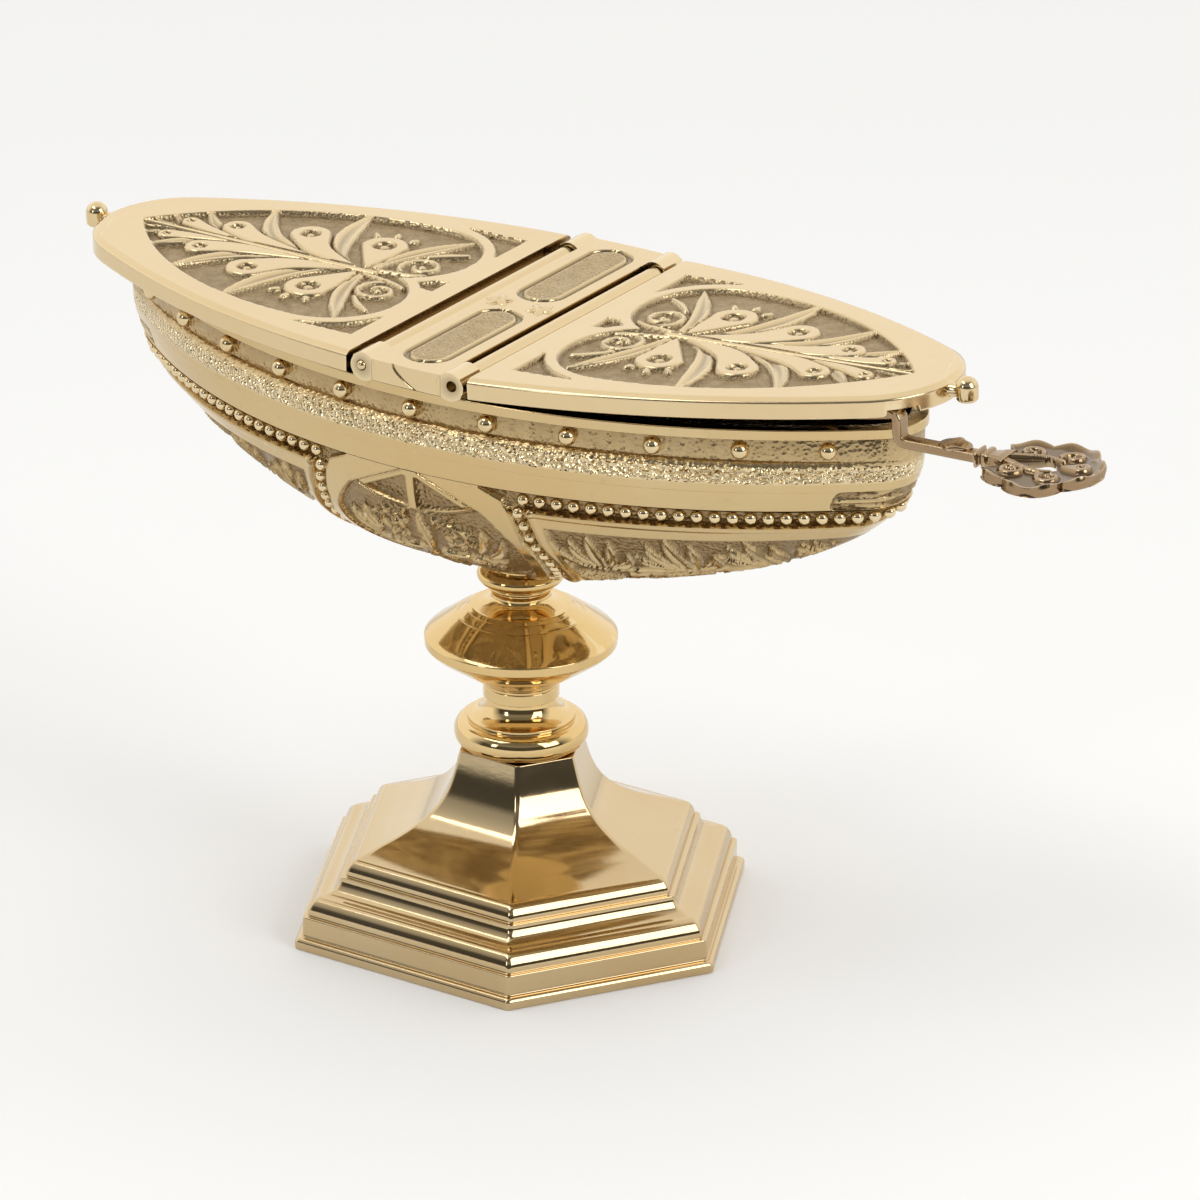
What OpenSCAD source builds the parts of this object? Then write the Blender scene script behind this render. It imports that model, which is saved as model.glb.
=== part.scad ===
// Incense boat: hexagonal foot, turned stem, moulded boat bowl, two hinged lids and a spoon.
// Millimetres, +Z up, +X along the boat towards the spoon; the origin is the centre under the foot.

/* [Foot] */
// Corner radius of the foot on the table
foot_r = 39.9; // [38:0.1:44]
// Height of the foot up to the stem
foot_h = 29.7; // [28:0.1:34]
// Corner radius of the foot where it meets the stem
foot_top_r = 10.9; // [10.4:0.1:12]
// Angle spanned by each of the two short sides
foot_short = 53.4; // [48:0.1:60]
// Direction of the corner nearest to the spoon
foot_turn = -6.3; // [-12:0.1:12]
// Height of the ledge on the table
ledge_h = 1.9; // [1.4:0.1:2.4]
// Bevel of the ledge's upper edge
ledge_edge = 0.5; // [0.2:0.1:0.8]
// Inset of the upright face behind the ledge
ledge_in = 1.4; // [0.8:0.1:2]
// Height of the upright face
face_h = 3.5; // [2.8:0.1:4.2]
// Width of each flat shelf between two mouldings
shelf_in = 0.9; // [0.5:0.1:1.2]
// Height of the lower quarter round
round_h = 3; // [2.4:0.1:3.4]
// Inset taken up by each quarter round
round_in = 2.4; // [1.8:0.1:2.8]
// Height of the hollow moulding
cove_h = 2.8; // [2.2:0.1:3.2]
// Inset taken up by the hollow moulding
cove_in = 3.4; // [2.8:0.1:4]
// Height of the upper quarter round
crown_h = 2.7; // [2.2:0.1:3.2]
// Rise of the sloping shelf below the flare
slope_h = 1.6; // [1:0.1:2]
// Inset of the sloping shelf below the flare
slope_in = 4; // [3:0.1:4.6]
// Thickness of the foot's wall at its corners
foot_wall = 4.1; // [3.4:0.1:6]
// Height of the wide hollow underneath
hollow_h = 5; // [4:0.1:5.4]
// Width of the shelf between the wide and the deep hollow
well_in = 11.4; // [10:0.1:14]
// Height of the deep hollow underneath
well_h = 13; // [12.6:0.1:13.4]

/* [Stem] */
// Height of the lower collar
collar_h = 10.3; // [9:0.1:12]
// Radius of the lower collar's ring
collar_r = 10.9; // [10:0.1:12]
// Height of the lower collar's ring
collar_ring_h = 4.3; // [3.8:0.1:5]
// Swell of the lower collar's ring
collar_bow = 1.6; // [1.2:0.1:2]
// Inset of the step above the lower collar's ring
collar_step_in = 2.2; // [1.8:0.1:2.8]
// Height of the step above the lower collar's ring
collar_step_h = 0.7; // [0.4:0.1:1]
// Radius of the lower collar's neck
collar_neck_r = 5.6; // [5:0.1:6.4]
// Height of the fillet on the lower collar's neck
neck_h = 2; // [1.6:0.1:2.6]
// Projection of the fillet on the lower collar's neck
neck_out = 0.6; // [0.4:0.1:1]
// Height of the knop
knop_h = 15.3; // [14:0.1:17]
// Radius of the knop at its rim
knop_r = 15.6; // [14:0.1:18]
// Height of the knop's lower cone
knop_low = 7.2; // [6.4:0.1:8]
// Height of the knop's rim
knop_rim_h = 1.4; // [1:0.1:2]
// Bevel above and below the knop's rim
knop_edge = 0.9; // [0.6:0.1:1.2]
// Width of the knop's upper cone
knop_cone_w = 6.3; // [5.4:0.1:7]
// Height of the knop's upper cone
knop_cone_h = 4.2; // [3.6:0.1:4.4]
// Height of the line cut into the upper cone
knop_line = 0.3; // [0.2:0.05:0.5]
// Radius of the knop's upper neck
knop_neck_r = 4.3; // [4:0.1:5]
// Height of the upper collar
ring_h = 5.7; // [5:0.1:7]
// Radius of the upper collar's ring
ring_r = 7.1; // [6.6:0.1:8]
// Height of the fillet below the upper collar's ring
ring_foot = 1.2; // [0.8:0.1:1.6]
// Projection of the fillet below the upper collar's ring
ring_out = 0.5; // [0.3:0.1:0.8]
// Height of the upper collar's ring
ring_bow_h = 3.6; // [3:0.1:4]
// Swell of the upper collar's ring
ring_bow = 1.8; // [1.2:0.1:2]
// Radius of the seat under the bowl
seat_r = 4.3; // [3.8:0.1:4.4]
// Height of the seat under the bowl
seat_h = 0.6; // [0.4:0.1:0.8]
// Radius of the tie rod
rod_r = 2; // [1.5:0.1:2.4]
// Radial clearance round the tie rod
rod_gap = 0.1; // [0.05:0.01:0.1]
// Radius of the tie rod's head
head_r = 4.3; // [3.6:0.1:4.4]
// Height of the tie rod's head
head_h = 1.8; // [1.4:0.1:2.2]
// Washer radius
washer_r = 5.4; // [5.2:0.1:6]
// Washer thickness
washer_t = 0.8; // [0.6:0.1:1.2]
// Nut size across flats
nut_af = 7; // [6.4:0.1:8]
// Nut height
nut_h = 3.2; // [2.6:0.1:4]
// Length of rod left below the nut
rod_end = 1.5; // [0.8:0.1:2.2]

/* [Bowl] */
// Half length of the hull at the frieze
hull_a = 74; // [70:0.5:76]
// Half width of the hull at the frieze
hull_b = 31.5; // [30:0.1:31.8]
// Tip radius of the hull's plan
hull_tip_r = 8; // [5:0.1:12]
// Height of the bowl from its seat to the rim
bowl_h = 40.2; // [38:0.1:44]
// Fullness of the hull seen from the side
hull_full_x = 2.56; // [2.2:0.01:3]
// Fullness of the hull seen along the boat
hull_full_y = 3.67; // [3.3:0.01:4.2]
// Roundness of the keel seen from the side
keel_x = 0.909; // [0.86:0.001:0.95]
// Roundness of the keel seen along the boat
keel_y = 0.833; // [0.8:0.001:0.9]
// Wall thickness at the rim
wall_t = 2.6; // [2.4:0.1:2.8]
// Thickness of the bottom above the seat
bottom_t = 3.5; // [3:0.1:4]
// Drop from the lip to where the hull starts to curve in
hull_drop = 2; // [1.5:0.1:3]
// Height by which the seat cuts the keel off
keel_drop = 1; // [0.8:0.1:1.6]
// Height of the rim's lip
lip_h = 1.7; // [1.5:0.1:2.2]
// Projection of the rim's lip
lip_out = 0.6; // [0.4:0.1:0.8]
// Height of the hollow frieze below the lip
frieze_h = 7.6; // [6.8:0.1:8]
// Depth of the hollow frieze
frieze_in = 1.2; // [0.8:0.1:1.3]
// Height of the frieze's upright upper part
frieze_wall_h = 3.9; // [3.4:0.1:4.6]
// Height of the fillet below the frieze
fillet_h = 1.3; // [1:0.1:1.8]
// Projection of the fillet below the frieze
fillet_out = 0.8; // [0.5:0.1:1]
// Height of the plain band
band_h = 3.5; // [3:0.1:4]
// Projection of the plain band
band_out = 0.3; // [0.1:0.05:0.5]
// Height of the bead groove below the band
bead_h = 3.1; // [2.6:0.1:3.4]
// Depth of the bead groove
bead_in = 0.9; // [0.5:0.1:1.1]
// Height of the sill below the bead groove
sill_h = 3; // [2.4:0.1:3.4]
// Radius of a stud
stud_r = 1.5; // [1.2:0.1:1.6]
// Distance between studs along the side
stud_pitch = 13.75; // [12:0.05:14]
// Studs on each side of the boat
stud_count = 11; // [7:2:11]
// Drop from the lip to the studs' centres
stud_drop = 2.1; // [1.8:0.1:2.4]
// Depth to which a stud is seated
stud_seat = 1; // [0.7:0.1:1.1]

/* [Lids] */
// Half length over the lids
lid_a = 80; // [79:0.1:82]
// Half width over the lids
lid_b = 32.4; // [32.2:0.1:33]
// Tip radius of the lids' plan
lid_tip_r = 15.4; // [14.6:0.1:18]
// Thickness of a lid at its edge
lid_t = 3.4; // [3.2:0.05:3.8]
// Gap between a closed lid and the rim
lid_gap = 0.15; // [0.1:0.05:0.3]
// Thickness of a lid inside its edge
plate_t = 2.3; // [2.1:0.05:2.5]
// Width of the edge below a lid
skirt_w = 2.6; // [2.4:0.1:3]
// Width of the bevel on a lid's upper edge
bevel_w = 1.1; // [0.6:0.1:1.4]
// Height of the bevel on a lid's upper edge
bevel_h = 0.6; // [0.4:0.1:0.8]
// Angle at which the spoon's handle holds the right lid open
ajar = 3.6; // [3:0.1:4.2]
// Width of the flat border at a lid's tip
border_w = 6.6; // [6:0.1:7.4]
// Distance from the middle to the centres of the panel's lobes
lobe_x = 28.6; // [28:0.1:29.4]
// Radius of the panel's lobes
lobe_r = 12; // [11.6:0.1:12.4]
// Distance from the lobes' centres back to the cusp between them
cusp_l = 5.5; // [5:0.1:6]
// Width of the rail along the hinge edge
hinge_rail = 3.9; // [3.4:0.1:4.4]
// Width of the rail between the panel and the triangles
rail_w = 2; // [1.6:0.1:2.4]
// Length of the corner triangles along a lid's side
corner_w = 11; // [9:0.1:11.6]
// Length of the corner triangles along the hinge edge
corner_l = 9; // [8:0.1:9.6]
// Half height of the small triangle in the middle
middle_l = 2.4; // [2:0.1:3]
// Depth of the sunk panel
panel_d = 0.9; // [0.6:0.05:1.1]
// Height of the leaves above the panel
leaf_h = 0.8; // [0.5:0.05:0.85]
// Width of the widest leaf
leaf_w = 3.8; // [3:0.1:4.4]
// Radius of the largest drop leaf
drop_r = 3.2; // [2.6:0.1:3.6]
// Radius of its drilled eye
eye_r = 1.5; // [1:0.1:1.8]
// Width of the notch for the spoon's handle
notch_w = 4.6; // [4.4:0.1:5.4]

/* [Hinges] */
// Distance from the middle to each hinge line
hinge_x = 8.5; // [8.2:0.1:9.4]
// Radius of a hinge barrel
barrel_r = 1.6; // [1.5:0.05:1.7]
// Radius of a hinge pin
pin_r = 0.9; // [0.7:0.05:1]
// Radial running clearance of a lid's barrel on its pin
pin_gap = 0.05; // [0.02:0.01:0.08]
// Radial clearance of a pin in the bridge
pin_seat = 0.01; // [0.01:0.01:0.03]
// Half length of a lid's barrel
barrel_y = 26.2; // [24:0.1:26.6]
// End play between a barrel and the bridge
barrel_play = 0.3; // [0.2:0.05:0.5]
// Half width of the bridge's deck
deck_x = 6.5; // [6:0.1:6.6]
// Distance from a hinge line to the lid's straight edge
groove_w = 2.9; // [2.6:0.1:3.2]
// Set-back of each pin behind the bridge's end
pin_back = 2; // [1:0.1:2.4]
// Width of a sunk cartouche on the deck
cart_w = 8.7; // [7.6:0.1:9.2]
// Length of a sunk cartouche on the deck
cart_l = 27; // [25:0.1:28]
// Distance from the middle to a cartouche's centre
cart_y = 16; // [15.6:0.1:16.6]
// Width of the sunk line round a cartouche
cart_line = 1.3; // [0.9:0.1:1.6]
// Depth of the sunk line round a cartouche
cart_d = 0.5; // [0.3:0.05:0.8]
// Radius of the pegs that fix the bridge
peg_r = 0.8; // [0.6:0.05:0.85]
// Depth of the pegs in the rim and in the bridge
peg_l = 1.4; // [1.1:0.05:1.4]
// Distance from the middle to a peg
peg_y = 30.5; // [30.3:0.05:30.6]

/* [Lugs] */
// Radius of a lug
lug_r = 1.8; // [1.5:0.1:2.2]
// Height of a lug without its dome
lug_h = 3.6; // [3:0.1:4.4]
// Length of the neck between lid and lug
lug_neck = 1; // [0.8:0.1:1.6]
// Radius of the neck between lid and lug
lug_neck_r = 1.1; // [0.9:0.1:1.3]
// Height of a lug's middle above the lid's middle
lug_lift = 0.3; // [0:0.1:0.8]
// Radius of the tang inside the lid's edge
tang_r = 0.75; // [0.6:0.05:0.85]
// Length of the tang inside the lid's edge
tang_l = 2; // [1.6:0.1:2.2]

/* [Spoon] */
// Distance from the middle to the handle's upright
post_x = 75.8; // [75.5:0.1:76]
// Sideways position of the handle's upright
post_y = -9; // [-10:0.1:-8]
// Radius of the handle's upright
post_r = 1.2; // [1:0.05:1.3]
// Width of the handle
bar_w = 2.6; // [2.2:0.1:2.8]
// Thickness of the handle
bar_t = 1.6; // [1.4:0.1:1.8]
// Turn of the inner arm towards the boat's middle
arm_turn = 8.9; // [7:0.1:10]
// Turn of the outer arm
tail_turn = 4.2; // [2:0.1:6]
// Distance from the upright to the spoon bowl's centre
scoop_x = 58; // [56:0.5:59]
// Radius of the spoon's bowl
scoop_r = 8; // [7:0.1:8.4]
// Depth of the spoon's bowl
scoop_h = 3.2; // [2.6:0.1:3.6]
// Wall thickness of the spoon's bowl
scoop_t = 1; // [0.8:0.1:1.2]
// Clearance of the spoon's bowl above the boat's floor
scoop_lift = 0.6; // [0.5:0.1:2]
// Depth to which the handle is brazed into the spoon's bowl
braze = 0.3; // [0.2:0.05:0.5]
// Gap between the handle and the right lid
rest_gap = 0.1; // [0.05:0.01:0.2]
// Distance from the upright to the bend above the rim
bend_x = 17; // [16:0.1:19]
// Drop of the bend below the handle's top
bend_drop = 4.7; // [4:0.1:4.8]
// Height of the outer arm above the rim
tail_lift = 0; // [-0.6:0.1:0.6]
// Distance from the upright to the collar
collar_x = 13.6; // [12:0.1:15]
// Length of the collar
collar_l = 2.2; // [1.6:0.1:3]
// Projection of the collar round the handle
collar_out = 0.5; // [0.3:0.1:0.8]
// Distance from the small leaf plate to the collar
plate_back = 3.6; // [3:0.1:4.6]
// Distance from the upright to the finial's centre
finial_x = 25.6; // [24.5:0.1:27]
// Radius of the finial without its lobes
finial_r = 8; // [7:0.1:9]
// Radius of one lobe
finial_lobe = 2.4; // [2:0.1:2.8]
// Number of lobes
finial_lobes = 9; // [7:1:11]
// Radius of the opening in the finial
finial_hole = 2.3; // [1.6:0.1:3]
// Thickness of the finial
finial_t = 1.8; // [1.4:0.1:2.4]

/* [Hidden] */
$fn = 64;
eps = 0.01;

// Heights, stacked from the table
collar_z = foot_h;
knop_z = collar_z + collar_h;
ring_z = knop_z + knop_h;
seat_z = ring_z + ring_h;
floor_z = seat_z + bottom_t;
rim_z = seat_z + bowl_h;
lip_z = rim_z - lip_h;
fillet_z = lip_z - frieze_h;
band_z = fillet_z - fillet_h;
bead_z = band_z - band_h;
sill_z = bead_z - bead_h;
panel_z = sill_z - sill_h;
frieze_z = lip_z - frieze_wall_h;
lid_z = rim_z + lid_gap;
top_z = lid_z + lid_t;
hinge_z = top_z - barrel_r;
edge_x = hinge_x + groove_w;
knuckle_y = barrel_y + barrel_play;

hollow_r = foot_r - ledge_in - foot_wall;
well_r = hollow_r - well_in;

// Moulding levels of the foot
ledge_top = ledge_h;
face_top = ledge_top + face_h;
round_top = face_top + round_h;
cove_top = round_top + cove_h;
crown_top = cove_top + crown_h;
slope_top = crown_top + slope_h;
face_r = foot_r - ledge_in;
round_r = face_r - shelf_in;
cove_r = round_r - round_in;
crown_r = cove_r - cove_in - shelf_in;
slope_r = crown_r - round_in;
flare_r = slope_r - slope_in;

// Hull depth: the curve runs below the seat, which cuts it off flat
hull_z = lip_z - hull_drop;
hull_d = hull_z - seat_z + keel_drop;
hold_d = hull_z - floor_z + keel_drop;

// Spoon levels; the handle's top lies just below the right lid's plate
plate_z = top_z - plate_t;
under_z = hinge_z + (post_x - hinge_x) * sin(ajar) - (hinge_z - plate_z) * cos(ajar);
crank_z = under_z - rest_gap - bar_t / 2;
tail_z = rim_z + tail_lift;
scoop_at = post_x - scoop_x * cos(arm_turn);
scoop_z = keel_height(scoop_at + scoop_r / 2) + scoop_lift;

// Corner directions of the foot: two short and four long sides
foot_long = (360 - 2 * foot_short) / 4;
function corner(i) = foot_turn + i * foot_long + (i > 2 ? foot_short - foot_long : 0);
function hex_ring(r, z) = [for (i = [0:5]) [r * cos(corner(i)), r * sin(corner(i)), z]];
function hex_plan(r) = [for (i = [0:5]) [r * cos(corner(i)), r * sin(corner(i))]];

// Quarter arcs between two profile points: bulging, or hollow
function bulge(p, q, n) = [for (k = [0:n]) let (w = 90 * k / n)
  [p.x + (q.x - p.x) * (1 - cos(w)), p.y + (q.y - p.y) * sin(w)]];
function dish(p, q, n) = [for (k = [0:n]) let (w = 90 * k / n)
  [p.x + (q.x - p.x) * sin(w), p.y + (q.y - p.y) * (1 - cos(w))]];
// Hollow that starts level and ends upright, or half ring between two heights
function ring_arc(r, z0, z1, bow, n) = [for (k = [0:n]) let (w = 180 * k / n)
  [r - bow + bow * sin(w), z0 + (z1 - z0) * (1 - cos(w)) / 2]];

// Boat-shaped plan of two side arcs and two round tips
function side_r(a, b, t) = ((a - t) * (a - t) + b * b - t * t) / (2 * (b - t));
function tip_turn(a, b, t) = atan2(side_r(a, b, t) - b, a - t);
function tip_pt(a, t, w) = [a - t + t * cos(w), t * sin(w)];
function side_pt(a, b, t, w) = let (r = side_r(a, b, t)) [r * cos(w), b - r + r * sin(w)];
function quarter(a, b, t) = let (w = tip_turn(a, b, t)) concat(
  [for (k = [0:3]) tip_pt(a, t, w * k / 4)],
  [for (k = [0:11]) side_pt(a, b, t, w + (90 - w) * k / 12)]);
function flip(list, sx, sy) = [for (p = list) [p.x * sx, p.y * sy]];
function back(list) = [for (k = [len(list) - 1:-1:0]) list[k]];
function tail(list) = [for (k = [1:len(list) - 1]) list[k]];
function outline(a, b, t) = let (q = quarter(a, b, t), h = concat(q, [[0, b]], back(flip(tail(q), -1, 1))))
  concat(h, [[-a, 0]], back(flip(tail(h), 1, -1)));
function beam(a, b, t, x) = let (r = side_r(a, b, t)) b - r + sqrt(r * r - x * x);

// Solid through a stack of rings, each ring running anticlockwise; flat caps close both ends
module loft(rings) {
  n = len(rings[0]);
  m = len(rings);
  walls = [for (j = [0:m - 2], i = [0:n - 1]) let (k = (i + 1) % n)
    each [[j * n + i, (j + 1) * n + i, (j + 1) * n + k], [j * n + i, (j + 1) * n + k, j * n + k]]];
  first = [for (i = [0:n - 1]) i];
  last = [for (i = [n - 1:-1:0]) (m - 1) * n + i];
  polyhedron([for (r = rings) each r], concat([first], walls, [last]));
}

module foot() {
  profile = concat(
    [[foot_r, 0], [foot_r, ledge_top - ledge_edge], [foot_r - ledge_edge, ledge_top]],
    [[face_r, ledge_top], [face_r, face_top]],
    bulge([round_r, face_top], [cove_r, round_top], 4),
    tail(dish([cove_r, round_top], [cove_r - cove_in, cove_top], 4)),
    bulge([crown_r, cove_top], [slope_r, crown_top], 4),
    [[flare_r, slope_top]],
    tail(dish([flare_r, slope_top], [foot_top_r, foot_h], 10)));
  color("goldenrod")
  difference() {
    loft([for (p = profile) hex_ring(p.x, p.y)]);
    translate([0, 0, -eps]) linear_extrude(hollow_h + eps) polygon(hex_plan(hollow_r));
    translate([0, 0, -eps]) linear_extrude(well_h + eps) polygon(hex_plan(well_r));
    cylinder(r = rod_r + rod_gap, h = foot_h + 1);
  }
}

module foot_washer() {
  color("darkgoldenrod")
  translate([0, 0, well_h - washer_t])
  difference() {
    cylinder(r = washer_r, h = washer_t);
    translate([0, 0, -eps]) cylinder(r = rod_r + rod_gap, h = washer_t + 2 * eps);
  }
}

module foot_nut() {
  color("darkgoldenrod")
  translate([0, 0, well_h - washer_t - nut_h])
  difference() {
    cylinder(r = nut_af / 2 / cos(30), h = nut_h, $fn = 6);
    translate([0, 0, -eps]) cylinder(r = rod_r + rod_gap / 10, h = nut_h + 2 * eps);
  }
}

module tie_rod() {
  end_z = well_h - washer_t - nut_h - rod_end;
  color("darkgoldenrod") {
    translate([0, 0, end_z]) cylinder(r = rod_r, h = floor_z - end_z);
    translate([0, 0, floor_z]) cylinder(r = head_r, h = head_h / 2);
    translate([0, 0, floor_z + head_h / 2]) cylinder(r1 = head_r, r2 = head_r - head_h / 2, h = head_h / 2);
  }
}

// Turned piece on the stem's axis, bored for the tie rod
module turned(profile, z, h) {
  translate([0, 0, z])
  difference() {
    rotate_extrude() polygon(concat([[0, 0]], profile, [[0, h]]));
    translate([0, 0, -eps]) cylinder(r = rod_r + rod_gap, h = h + 2 * eps);
  }
}

module lower_collar() {
  base_r = foot_top_r * cos(foot_long / 2);
  step_z = collar_ring_h + collar_step_h;
  step_r = collar_r - collar_step_in;
  fillet_r = collar_neck_r + neck_out;
  color("gold")
  turned(concat(
    [[base_r, 0]],
    ring_arc(collar_r, 0, collar_ring_h, collar_bow, 10),
    [[step_r, collar_ring_h], [step_r, step_z]],
    tail(dish([step_r, step_z], [collar_neck_r, collar_h - neck_h], 8)),
    [[fillet_r, collar_h - neck_h], [fillet_r, collar_h]]), collar_z, collar_h);
}

module knop() {
  rim_top = knop_low + knop_rim_h;
  shade_z = rim_top + knop_edge;
  shade_r = knop_r - knop_edge;
  line_z = shade_z + knop_cone_h * 2 / 3;
  line_r = shade_r - knop_cone_w * 2 / 3;
  cone_z = shade_z + knop_cone_h;
  cone_r = shade_r - knop_cone_w;
  color("gold")
  turned(concat(
    [[collar_neck_r + neck_out, 0], [knop_r - knop_edge, knop_low - knop_edge]],
    [[knop_r, knop_low], [knop_r, rim_top], [shade_r, shade_z]],
    [[line_r, line_z], [line_r - knop_line, line_z], [cone_r - knop_line, cone_z]],
    tail(dish([cone_r - knop_line, cone_z], [knop_neck_r, knop_h], 6))), knop_z, knop_h);
}

module upper_collar() {
  foot_ring = knop_neck_r + ring_out;
  bow_top = ring_foot + ring_bow_h;
  color("gold")
  turned(concat(
    [[foot_ring, 0], [foot_ring, ring_foot]],
    ring_arc(ring_r, ring_foot, bow_top, ring_bow, 10),
    [[seat_r, ring_h - seat_h], [seat_r, ring_h]]), ring_z, ring_h);
}

// Ring of the hull: the frieze plan shrunk towards the keel, moved out by d, less so at the tips
function hull_size(a, b, depth, z) = let (t = max(0, (hull_z - z) / depth))
  [a * pow(1 - pow(t, hull_full_x), keel_x), b * pow(1 - pow(t, hull_full_y), keel_y)];
function hull_ring(z, d, tips) = let (s = hull_size(hull_a, hull_b, hull_d, z))
  [for (p = outline(hull_a, hull_b, hull_tip_r)) let (e = d * (1 - (1 - tips) * pow(abs(p.x) / hull_a, 6)))
    [p.x * (s.x + e) / hull_a, p.y * (s.y + e) / hull_b, z]];
function hold_ring(z) = let (s = hull_size(hull_a - wall_t, hull_b - wall_t, hold_d, z))
  [for (p = outline(hull_a, hull_b, hull_tip_r)) [p.x * s.x / hull_a, p.y * s.y / hull_b, z]];

// Height of the hold's floor above the keel line at distance x from the middle
function keel_height(x) =
  hull_z - hold_d * pow(1 - pow(x / (hull_a - wall_t), 1 / keel_x), 1 / hull_full_x);

module bowl() {
  steps = 11;
  lower = [for (k = [0:steps]) seat_z + (panel_z - seat_z) * (1 - cos(90 * k / steps))];
  sweep = 4;
  drop = frieze_z - fillet_z;
  flare = fillet_out + frieze_in;
  skin = concat(
    [for (z = lower) hull_ring(z, 0, 1)],
    [hull_ring(panel_z, band_out, 0), hull_ring(sill_z, band_out, 0)],
    [hull_ring(sill_z, -bead_in, 0), hull_ring(bead_z, -bead_in, 0)],
    [hull_ring(bead_z, band_out, 0), hull_ring(band_z, band_out, 0)],
    [hull_ring(band_z, fillet_out, 0), hull_ring(fillet_z, fillet_out, 0)],
    [for (k = [1:sweep]) let (w = 90 * k / sweep)
      hull_ring(fillet_z + drop * sin(w), fillet_out - flare * (1 - cos(w)), 0)],
    [hull_ring(lip_z, -frieze_in, 0), hull_ring(lip_z, lip_out, 1), hull_ring(rim_z, lip_out, 1)]);
  hold = concat([hold_ring(rim_z)],
    [for (k = [0:steps]) hold_ring(floor_z + (hull_z - floor_z) * (1 - sin(90 * k / steps)))]);
  color("goldenrod")
  difference() {
    loft(concat(skin, hold));
    translate([0, 0, seat_z - eps]) cylinder(r = rod_r + rod_gap, h = bottom_t + 1);
    for (s = [-1, 1])
      translate([0, s * peg_y, rim_z - peg_l]) cylinder(r = peg_r, h = peg_l + 1);
  }
}

// Studs at even distances along both side arcs
module frieze_studs() {
  r = side_r(hull_a, hull_b, hull_tip_r);
  last = (stud_count - 1) / 2;
  stud_z = lip_z - stud_drop;
  color("gold")
  for (k = [-last:last], s = [-1, 1]) {
    w = 90 - k * stud_pitch / r * 180 / PI;
    reach = r + stud_r - stud_seat - frieze_in;
    translate([reach * cos(w), s * (hull_b - r + reach * sin(w)), stud_z]) sphere(r = stud_r);
  }
}

module bridge() {
  cart_r = cart_w / 2;
  color("khaki")
  difference() {
    translate([0, 0, rim_z])
    linear_extrude(top_z - rim_z)
    intersection() {
      polygon(outline(lid_a, lid_b - lid_gap, lid_tip_r));
      union() {
        square([2 * deck_x, 2 * lid_b], center = true);
        for (s = [-1, 1])
          translate([0, s * (knuckle_y + lid_b / 2)])
            square([2 * (hinge_x + barrel_r), lid_b], center = true);
      }
    }
    for (s = [-1, 1]) {
      translate([s * hinge_x, 0, hinge_z]) rotate([90, 0, 0])
        cylinder(r = pin_r + pin_seat, h = 3 * lid_b, center = true);
      translate([0, s * cart_y, top_z - cart_d]) difference() {
        linear_extrude(1) cartouche(cart_r);
        translate([0, 0, -eps]) linear_extrude(2) cartouche(cart_r - cart_line);
      }
      translate([0, s * peg_y, rim_z - eps]) cylinder(r = peg_r, h = peg_l + eps);
    }
  }
}

// Round-ended cartouche about its own centre
module cartouche(r) {
  reach = (cart_l - cart_w) / 2;
  square([2 * r, 2 * reach], center = true);
  for (s = [-1, 1]) translate([0, s * reach]) circle(r = r);
}

module bridge_pegs() {
  color("darkgoldenrod")
  for (s = [-1, 1]) translate([0, s * peg_y, rim_z - peg_l]) cylinder(r = peg_r, h = 2 * peg_l);
}

module hinge_pin(x) {
  half = beam(lid_a, lid_b - lid_gap, lid_tip_r, hinge_x) - pin_back;
  color("darkgoldenrod")
  translate([x, 0, hinge_z]) rotate([90, 0, 0]) cylinder(r = pin_r, h = 2 * half, center = true);
}
module left_hinge_pin() { hinge_pin(-hinge_x); }
module right_hinge_pin() { hinge_pin(hinge_x); }

// Plan of one lid towards +X, drawn in by e from its curved edge and by d from its straight one
function lid_side(e) = let (a = lid_a - e, b = lid_b - e, t = lid_tip_r - e, w = tip_turn(a, b, t),
  v = acos(edge_x / side_r(a, b, t))) concat(
  [for (k = [0:3]) tip_pt(a, t, w * k / 4)],
  [for (k = [0:12]) side_pt(a, b, t, w + (v - w) * k / 12)]);
function lid_plan(e, d) = let (q = lid_side(e), h = concat(back(flip(tail(q), 1, -1)), q))
  [for (p = h) [max(p.x, edge_x + d), p.y]];
function lid_ring(e, z) = [for (p = lid_plan(e, 0)) [p.x, p.y, z]];

// Sunk panel: a pointed arch to the tip, two lobes to the hinge, with three small triangles
panel_a = lid_a - border_w;
lobe_y = sqrt(lobe_r * lobe_r - cusp_l * cusp_l);
arch_l = panel_a - lobe_x;
arch_h = lobe_y + lobe_r;
arch_r = (arch_l * arch_l + arch_h * arch_h) / (2 * arch_h);
function arc(c, r, from, to, n) = [for (k = [0:n])
  let (w = from + (to - from) * k / n) c + r * [cos(w), sin(w)]];
panel_half = concat(
  arc([lobe_x, arch_h - arch_r], arch_r, atan2(arch_r - arch_h, arch_l), 90, 16),
  tail(arc([lobe_x, lobe_y], lobe_r, 90, 180 + atan2(lobe_y, cusp_l), 18)));
module panel_plan() {
  polygon(concat(panel_half, [for (k = [len(panel_half) - 2:-1:1]) [panel_half[k].x, -panel_half[k].y]]));
  inner = edge_x + hinge_rail;
  far_y = beam(lid_a, lid_b, lid_tip_r, inner) - border_w;
  difference() {
    union() {
      for (s = [-1, 1])
        polygon([[inner, s * far_y], [inner + corner_w, s * far_y], [inner, s * (far_y - corner_l)]]);
      polygon([[inner, -middle_l], [lobe_x, 0], [inner, middle_l]]);
    }
    for (s = [-1, 1]) translate([lobe_x, s * lobe_y]) circle(r = lobe_r + rail_w);
  }
}

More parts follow.
